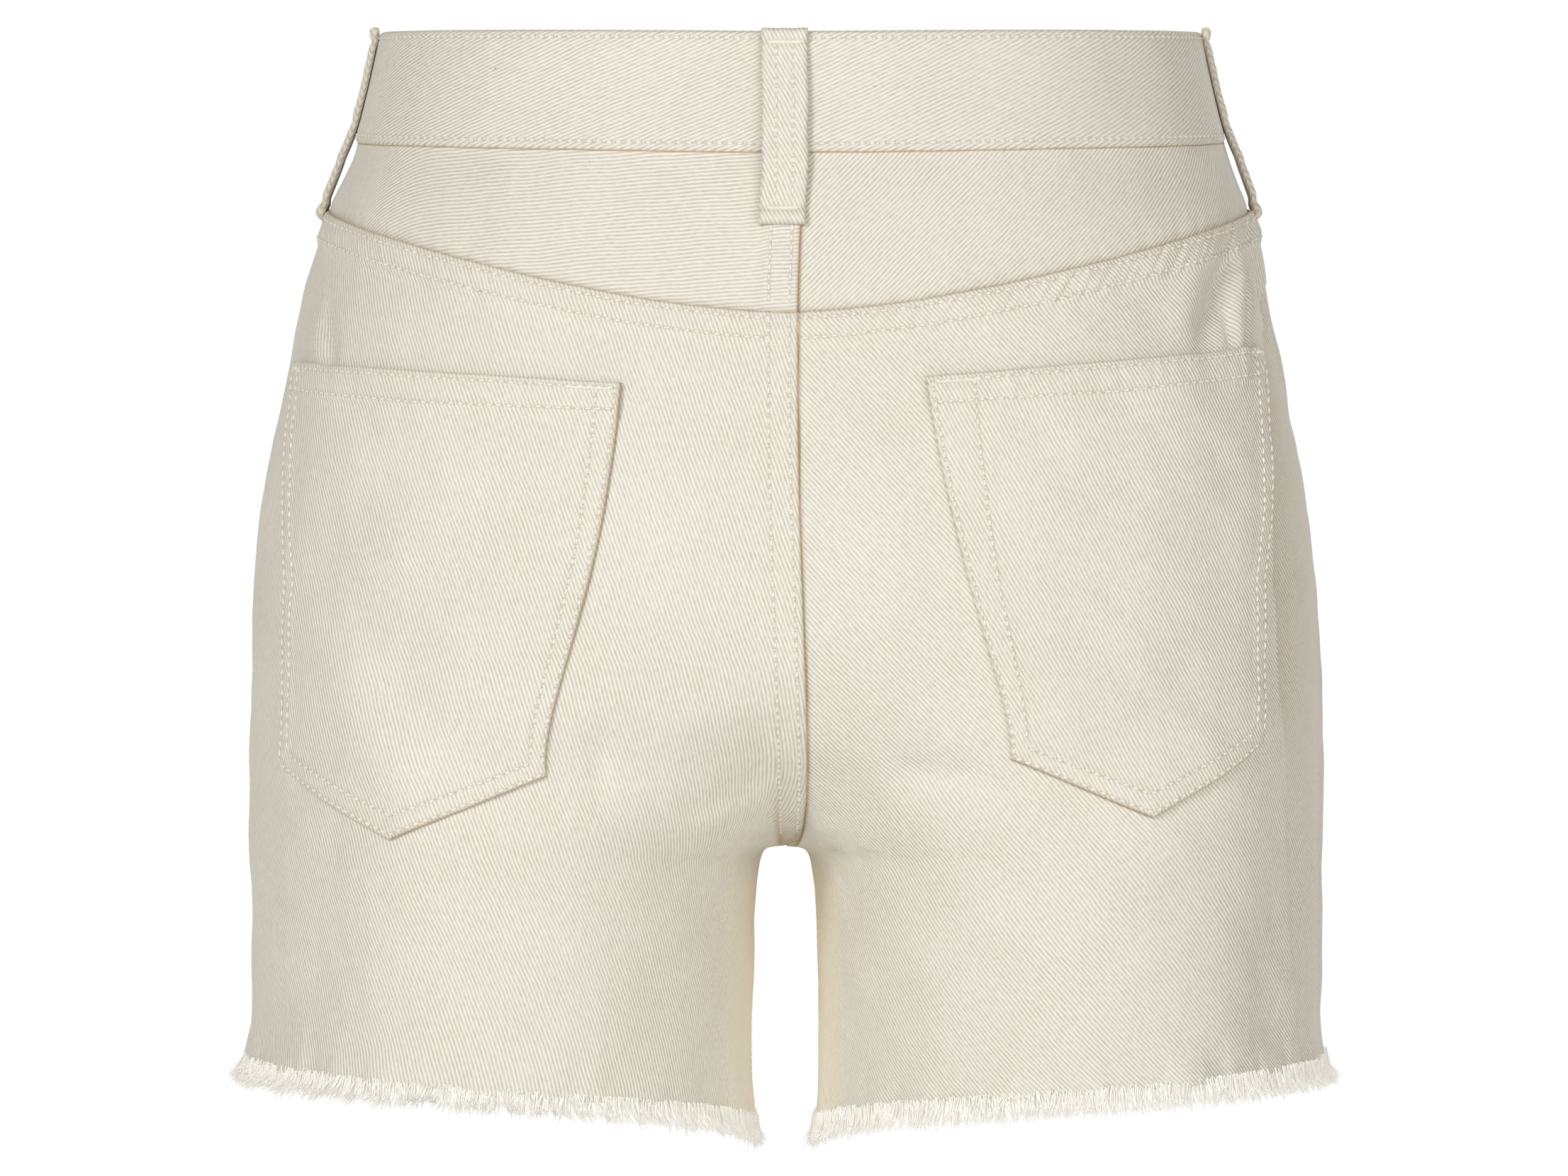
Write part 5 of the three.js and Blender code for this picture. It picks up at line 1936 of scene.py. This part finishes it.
@dataclass
class BeltLoop:
    """A belt loop: a folded strap, turned under and tacked at both ends."""

    name: str
    half: Side
    top: float
    along: float
    from_centre: bool
    share: float = -1.0
    lean: float = 0.0
    width: float = 14.6
    length: float = 62.0
    strap: float = 1.9
    twill: float = -62.0
    stand: tuple[float, ...] = (0.1, 0.5, 1.0, 1.9, 2.2, 1.9, 0.7, 0.4, 0.1)
    row_inset: float = 4.6
    stations: tuple[float, ...] = (0.0, 1.5, 6.5, 20.0, 32.0, 42.0, 55.0, 61.0, 62.0)

    def along_at(self, drop: Array) -> Array:
        """Middle of the loop round the cloth."""
        if self.share >= 0:
            return -FORM.front(drop) * (1.0 - self.share)
        if self.from_centre:
            return FORM.back(drop) - self.along
        return np.full(np.shape(drop), self.along)

    def profile(self, down: Array) -> tuple[Array, Array]:
        """Under and outer faces of the loop at a distance down it.

        Args:
            down: Distances from the loop's top.

        Returns:
            Distances out from the form of the under face and the outer face.
        """
        straight = mix(1.3, 0.4, down / self.length)
        stand = np.interp(down, self.stations, self.stand)
        roll = 0.9 * bell(down - 1.2, 2.2)
        roll = roll + bell(self.length - down - 1.4, 2.6)
        tack = 0.7 * (groove(down, (4.4,), 1.1) + groove(self.length - down, (5.0,), 1.2))
        under = straight + stand - 0.1 - 0.6 * tack
        return under, straight + stand + self.strap + roll - tack

    def place(self, across: Array, down: Array, out: Array) -> Array:
        """Points of the loop, across its width and down its length."""
        drop = self.top + down
        sway = self.lean * down / self.length
        return FORM.points(self.half, self.along_at(drop) + across + sway, drop, out)

    def build(self, garment: Garment) -> None:
        """Make the strap as a closed tube with rounded edges.

        Args:
            garment: The garment that it belongs to.
        """
        down = np.concatenate([[0.0, 0.15, 0.4, 0.8], np.linspace(1.4, 60.6, 66), [61.2, 61.6, 61.85, 62.0]])
        half = self.width / 2
        flat = np.concatenate([[0.0, 0.12, 0.4, 0.8], np.linspace(1.5, self.width - 1.5, 16)])
        flat = np.concatenate([flat, self.width - np.array([0.8, 0.4, 0.12, 0.0])]) - half
        across, run = np.meshgrid(flat, down)
        under, over = self.profile(run)
        edge = half - np.abs(across)
        end = np.minimum(run, self.length - run)
        near = np.minimum(edge, end)
        rolled = 0.9 * np.exp(-((near / 0.5) ** 1.4))
        ridge = 0.35 * bell(edge - 1.4, 1.6) + 0.14 * ripple(run, 8.0, 221) * (edge < 4)
        dents = ROW_DENT * groove(edge, (self.row_inset,))
        wobble = 0.25 * ripple(run, 30.0, 223)
        outer = self.place(across + wobble, run, over + ridge - dents - rolled)
        inner = self.place(across + wobble, run, under + rolled * 0.8)
        # Painted shade along the strap's edges, its stitch rows and its bar tacks.
        shade = 0.35 * np.exp(-near / 0.5) + 0.08 * groove(edge, (self.row_inset,), 0.5)
        shade = shade + 0.2 * groove(end, (self.row_inset,), 1.0)
        cloth = twill_map(self.half, across, run, self.twill)
        shell = ClothShell(self.name + "_strap", outer, inner, cloth, shade)
        piece = garment.dress(shell, "denim_loop", self.name)

    def sew(self, thread: Stitching) -> None:
        """Sew the loop's two rows and its bar tacks.

        Args:
            thread: The batch that takes the stitches.
        """
        down = np.arange(6.0, self.length - 6.5, SEW_STEP)
        for number, across in enumerate((-2.7, 2.7)):
            out = self.profile(down)[1] - 0.3
            place = np.full(down.shape, across)
            line = self.place(place, down, out)
            thread.row(line, self.place(place, down, out + 1.0), 231 + number)
        for at in (4.4, self.length - 5.0):
            across = np.linspace(-5.6, 5.6, 20)
            run = np.full(across.shape, at)
            out = self.profile(run)[1] - 0.1
            line = self.place(across, run, out)
            thread.bar(line, self.place(across, run, out + 1.0), 1.9)


@dataclass
class FrayedHem:
    """The frayed foot of one leg: loose yarns that hang from the cut edge."""

    half: Side
    count: int = 4500
    rings: int = 6
    seed: int = 5

    def roots(self, turn: Array, above: Array, out: Array) -> Array:
        """Points near the raw edge.

        Args:
            turn: Place round the leg, from 0 at the inseam round the back, to 1.
            above: Distance above the raw edge.
            out: Distance out from the form.

        Returns:
            Points in metres.
        """
        turn = turn - np.floor(turn)
        at_back = turn < 0.5
        share = np.where(at_back, 2.0 * turn, 2.0 - 2.0 * turn)
        drop = CUT.hem(share) - above
        along = np.where(at_back, FORM.back(drop), -FORM.front(drop)) * (1.0 - share)
        return FORM.points(self.half, along, drop, out)

    def length_at(self, turn: Array) -> Array:
        """Mean length of the yarns round the leg, in millimetres."""
        places = [0.0, 0.1, 0.24, 0.36, 0.5, 0.75, 1.0]
        if self.half > 0:
            return np.interp(turn, places, [9.5, 9.0, 8.6, 9.6, 9.4, 8.8, 9.5])
        return np.interp(turn, places, [9.4, 9.0, 8.2, 8.4, 9.6, 9.2, 9.4])

    def curl_at(self, turn: Array) -> Array:
        """How far the yarns bend out and up at their ends, in radians."""
        places = [0.0, 0.08, 0.2, 0.34, 0.5, 0.75, 1.0]
        if self.half > 0:
            return np.interp(turn, places, [0.3, 0.9, 1.5, 1.6, 1.1, 0.8, 0.3])
        return np.interp(turn, places, [0.3, 0.45, 0.5, 0.45, 0.7, 0.6, 0.3])

    def build(self, garment: Garment) -> None:
        """Make the yarns as one mesh of thin tubes.

        Args:
            garment: The garment that it belongs to.
        """
        rng = np.random.default_rng(self.seed + self.half)
        turn = (np.arange(self.count) + rng.uniform(0.0, 1.0, self.count)) / self.count
        walked = turn * 600.0
        tuft = ripple(walked, 8.0, 241 + self.half)
        drift = ripple(walked, 19.0, 251 + self.half)
        root_out = rng.uniform(-1.0, 1.3, self.count) + 0.9
        above = rng.uniform(0.4, 2.4, self.count)
        root = self.roots(turn, above, root_out)
        out = self.roots(turn, above, root_out + 1.0) - root
        out /= np.linalg.norm(out, axis=1)[:, None]
        down = self.roots(turn, above - 1.0, root_out) - root
        down /= np.linalg.norm(down, axis=1)[:, None]
        side = np.cross(down, out)
        length = self.length_at(turn) * (0.8 + 0.07 * tuft + rng.normal(0.0, 0.08, self.count))
        length = (length + above) * MM
        lean = 0.3 * tuft + 0.2 * drift + rng.normal(0.0, 0.17, self.count)
        bend = self.curl_at(turn) * (0.8 + 0.35 * drift) + rng.normal(0.0, 0.28, self.count)
        sweep = rng.normal(0.0, 0.4, self.count)
        at = np.linspace(0.0, 1.0, self.rings)
        middle = np.zeros((self.count, self.rings, 3))
        middle[:, 0] = root
        for ring in range(1, self.rings):
            t = (at[ring] + at[ring - 1]) / 2
            pitch = bend * t**1.3
            yaw = lean * (1.0 - 0.5 * t) + sweep * t
            way = down * (np.cos(pitch) * np.cos(yaw))[:, None]
            way = way + out * (np.sin(pitch) * 0.9 + 0.04)[:, None]
            way = way + side * (np.sin(yaw) * np.cos(pitch))[:, None]
            middle[:, ring] = middle[:, ring - 1] + way * (length / (self.rings - 1))[:, None]
        radius = MM * rng.uniform(0.2, 0.32, self.count)
        taper = np.interp(at, [0.0, 0.6, 1.0], [1.0, 0.9, 0.35])
        corner = np.arange(3) * 2.0 * math.pi / 3
        ring_out = out[:, None, None, :] * np.cos(corner)[None, None, :, None]
        ring_side = side[:, None, None, :] * np.sin(corner)[None, None, :, None]
        thick = (radius[:, None] * taper[None, :])[:, :, None, None]
        points = middle[:, :, None, :] + (ring_out + ring_side) * thick
        faces = tube_faces(self.count, self.rings, 3)
        piece = new_piece("hem_yarns_" + self.half.label, points.reshape(-1, 3), faces, garment.finishes.fray)
        garment.keep(piece, "fray", "hem_fray_" + self.half.label)


@dataclass
class WaistButton:
    """The plain jeans button that closes the waistband."""

    band: Waistband
    segments: int = 72
    profile: tuple[tuple[float, float], ...] = (
        (0.0, 0.2),
        (3.2, 0.2),
        (3.2, 0.9),
        (7.2, 1.05),
        (8.1, 1.3),
        (8.5, 1.8),
        (8.45, 2.4),
        (8.1, 2.85),
        (7.5, 3.1),
        (6.9, 3.08),
        (6.3, 2.8),
        (5.7, 2.75),
        (4.2, 3.0),
        (2.4, 3.2),
        (0.0, 3.3),
    )

    def build(self, garment: Garment) -> None:
        """Make the button as a turned form standing on the band.

        Args:
            garment: The garment that it belongs to.
        """
        walked = np.array([self.band.half_round])
        height = np.array([0.5])
        foot = self.band.place(walked, height, np.array([1.3]))[0]
        up = self.band.place(walked, height, np.array([2.3]))[0] - foot
        up /= np.linalg.norm(up)
        side = np.cross(up, np.array([0.0, 0.0, 1.0]))
        side /= np.linalg.norm(side)
        ahead = np.cross(up, side)
        turn = np.arange(self.segments) * 2.0 * math.pi / self.segments
        points = []
        for r, h in self.profile:
            ring = np.cos(turn)[:, None] * side + np.sin(turn)[:, None] * ahead
            points.append(foot + MM * (max(r, 0.05) * ring + h * up))
        faces = []
        for row in range(len(self.profile) - 1):
            a = row * self.segments + np.arange(self.segments)
            b = row * self.segments + (np.arange(self.segments) + 1) % self.segments
            faces.append(np.stack([a, b, b + self.segments, a + self.segments], axis=1))
        metal = garment.finishes.metal
        piece = new_piece("jeans_button", np.concatenate(points), np.concatenate(faces), metal)
        garment.keep(piece, "button_metal", "waist_button")


@dataclass
class Studio:
    """Plain pale floor, soft studio light and the camera."""

    distance: float = 3.0
    view_width: float = 0.50876
    camera_height: float = -0.16
    camera_side: float = 0.00046
    ambient: float = 0.25
    key: float = 28.0
    fill: float = 18.5
    level: float = 9.0
    floor_level: float = -0.75

    def light(self, name: str, place: tuple[float, float, float], size: float, power: float) -> None:
        """Add one soft square light that faces the garment."""
        data = bpy.data.lights.new(name, "AREA")
        data.shape = "SQUARE"
        data.size = size
        data.energy = power
        lamp = bpy.data.objects.new(name, data)
        lamp.visible_camera = False
        bpy.context.scene.collection.objects.link(lamp)
        away = np.array(place) - np.array([0.0, 0.0, -0.16])
        across = math.atan2(away[0], -away[1])
        down = math.acos(away[2] / np.linalg.norm(away))
        lamp.location = place
        lamp.rotation_euler = (down, 0.0, across)

    def build(self) -> None:
        """Set up the world, the lights, the floor and the camera."""
        scene = bpy.context.scene
        scene.view_settings.view_transform = "Standard"
        world = bpy.data.worlds.new("studio")
        scene.world = world
        world.use_nodes = True
        tree = world.node_tree
        tree.nodes.clear()
        rays = tree.nodes.new("ShaderNodeLightPath")
        shown = tree.nodes.new("ShaderNodeBackground")
        shown.inputs[0].default_value = (1.0, 1.0, 1.0, 1.0)
        shown.inputs[1].default_value = 1.0
        lit = tree.nodes.new("ShaderNodeBackground")
        lit.inputs[0].default_value = (1.0, 0.9, 0.73, 1.0)
        lit.inputs[1].default_value = self.ambient
        choose = tree.nodes.new("ShaderNodeMixShader")
        out = tree.nodes.new("ShaderNodeOutputWorld")
        tree.links.new(rays.outputs["Is Camera Ray"], choose.inputs[0])
        tree.links.new(lit.outputs[0], choose.inputs[1])
        tree.links.new(shown.outputs[0], choose.inputs[2])
        tree.links.new(choose.outputs[0], out.inputs[0])
        self.light("key", (1.15, 2.1, 0.85), 0.8, self.key)
        self.light("fill", (-1.4, 2.2, 0.3), 1.8, self.fill)
        self.light("front_key", (-1.15, -2.1, 0.85), 0.8, self.key)
        self.light("front_fill", (1.4, -2.2, 0.3), 1.8, self.fill)
        self.light("level_back", (0.0, 2.9, -0.1), 0.5, self.level)
        self.light("level_front", (0.0, -2.9, -0.1), 0.5, self.level)
        floor_mesh = bpy.data.meshes.new("floor")
        reach = 2.4
        corners = [(-reach, -reach), (reach, -reach), (reach, reach), (-reach, reach)]
        floor_mesh.from_pydata([(x, y, self.floor_level) for x, y in corners], [], [(0, 1, 2, 3)])
        floor = bpy.data.objects.new("floor", floor_mesh)
        scene.collection.objects.link(floor)
        pale = NodeTree("pale_floor")
        shader = pale.add("ShaderNodeBsdfPrincipled", Base_Color=(0.93, 0.93, 0.92, 1), Roughness=0.9)
        floor_mesh.materials.append(pale.finish(shader.outputs[0]))
        data = bpy.data.cameras.new("camera")
        data.sensor_width = 36.0
        data.lens = 36.0 * self.distance / self.view_width
        camera = bpy.data.objects.new("camera", data)
        camera.location = (self.camera_side, self.distance, self.camera_height)
        camera.rotation_euler = (math.pi / 2, 0.0, math.pi)
        scene.collection.objects.link(camera)
        scene.camera = camera


def main() -> None:
    """Build every piece of the shorts and report each one."""
    logging.basicConfig(level=logging.INFO, format="%(message)s")
    Studio().build()
    garment = Garment(Finishes())
    band = Waistband()
    band.build(garment)
    twist = ((64, 1), (78, 23), (100, 59), (117, 71), (137, 80))
    twist = twist + ((160, 85), (184, 87), (206, 89), (242, 87), (350, 68))
    left = BackPanel(Side.LEFT, -70.0)
    right = BackPanel(Side.RIGHT, -48.0, pucker=0.36, twist=twist)
    pockets = (
        BackPocket(
            Side.LEFT, (51, 81), (116.3, 239.1), (58, 86), (107.8, 236.5), (-5, 7), 259, -69.0, left
        ),
        BackPocket(
            Side.RIGHT, (43.6, 74.6), (114.4, 233.8), (68, 103), (103, 229), (-3, 4), 251.8, -60.0, right
        ),
    )
    # Each pocket's painted shadow lines are heaviest on the edges turned away from the key light.
    pockets[0].edge_shade = (1.0, 0.9, 0.15)
    pockets[1].edge_shade = (0.2, 1.0, 0.7)
    pockets[1].pucker = 0.3
    pockets[1].inner_row = (14.5, 8.0)
    yokes = (Yoke(Side.LEFT, 4.0, 26.0, left), Yoke(Side.RIGHT, 47.0, 52.0, right))
    fronts = tuple(FrontPanel(half, -68.0) for half in Side)
    front_loop = 0.47
    front_top = float(CUT.waist(np.array(front_loop), np.array(False)))
    hugging = (0.1, 0.2, 0.3, 0.4, 0.7, 1.9, 1.5, 0.5, 0.1)
    loops = (
        BeltLoop("belt_loop_back", Side.LEFT, CUT.waist_back - 0.3, 1.8, True),
        BeltLoop("belt_loop_side_left", Side.LEFT, CUT.waist_side, 16.0, False, stand=hugging),
        BeltLoop("belt_loop_side_right", Side.RIGHT, CUT.waist_side, 16.0, False, stand=hugging),
        BeltLoop("belt_loop_front_left", Side.LEFT, front_top, 0.0, False, front_loop),
        BeltLoop("belt_loop_front_right", Side.RIGHT, front_top, 0.0, False, front_loop),
    )
    body_thread = Stitching("body_stitching")
    pocket_thread = Stitching("pocket_stitching")
    band_thread = Stitching("band_stitching")
    loop_thread = Stitching("loop_stitching")
    for panel in (left, right, *fronts):
        panel.build(garment)
        panel.sew(body_thread)
    for yoke in yokes:
        yoke.build(garment)
        yoke.sew(body_thread)
    for pocket in pockets:
        pocket.build(garment)
        pocket.sew(pocket_thread)
    for half in Side:
        PocketFacing(half, -68.0).build(garment)
        FrayedHem(half).build(garment)
    FlyUnderlap().build(garment)
    band.sew(band_thread)
    for loop in loops:
        loop.build(garment)
        loop.sew(loop_thread)
    WaistButton(band).build(garment)
    slots = (
        (body_thread, "denim_panel"),
        (pocket_thread, "denim_pocket"),
        (band_thread, "denim_band"),
        (loop_thread, "denim_loop"),
    )
    for thread, slot in slots:
        garment.keep(thread.build(garment.finishes.thread), slot)
    log.info("pieces: %d", len(garment.pieces))


if __name__ == "__main__":
    main()
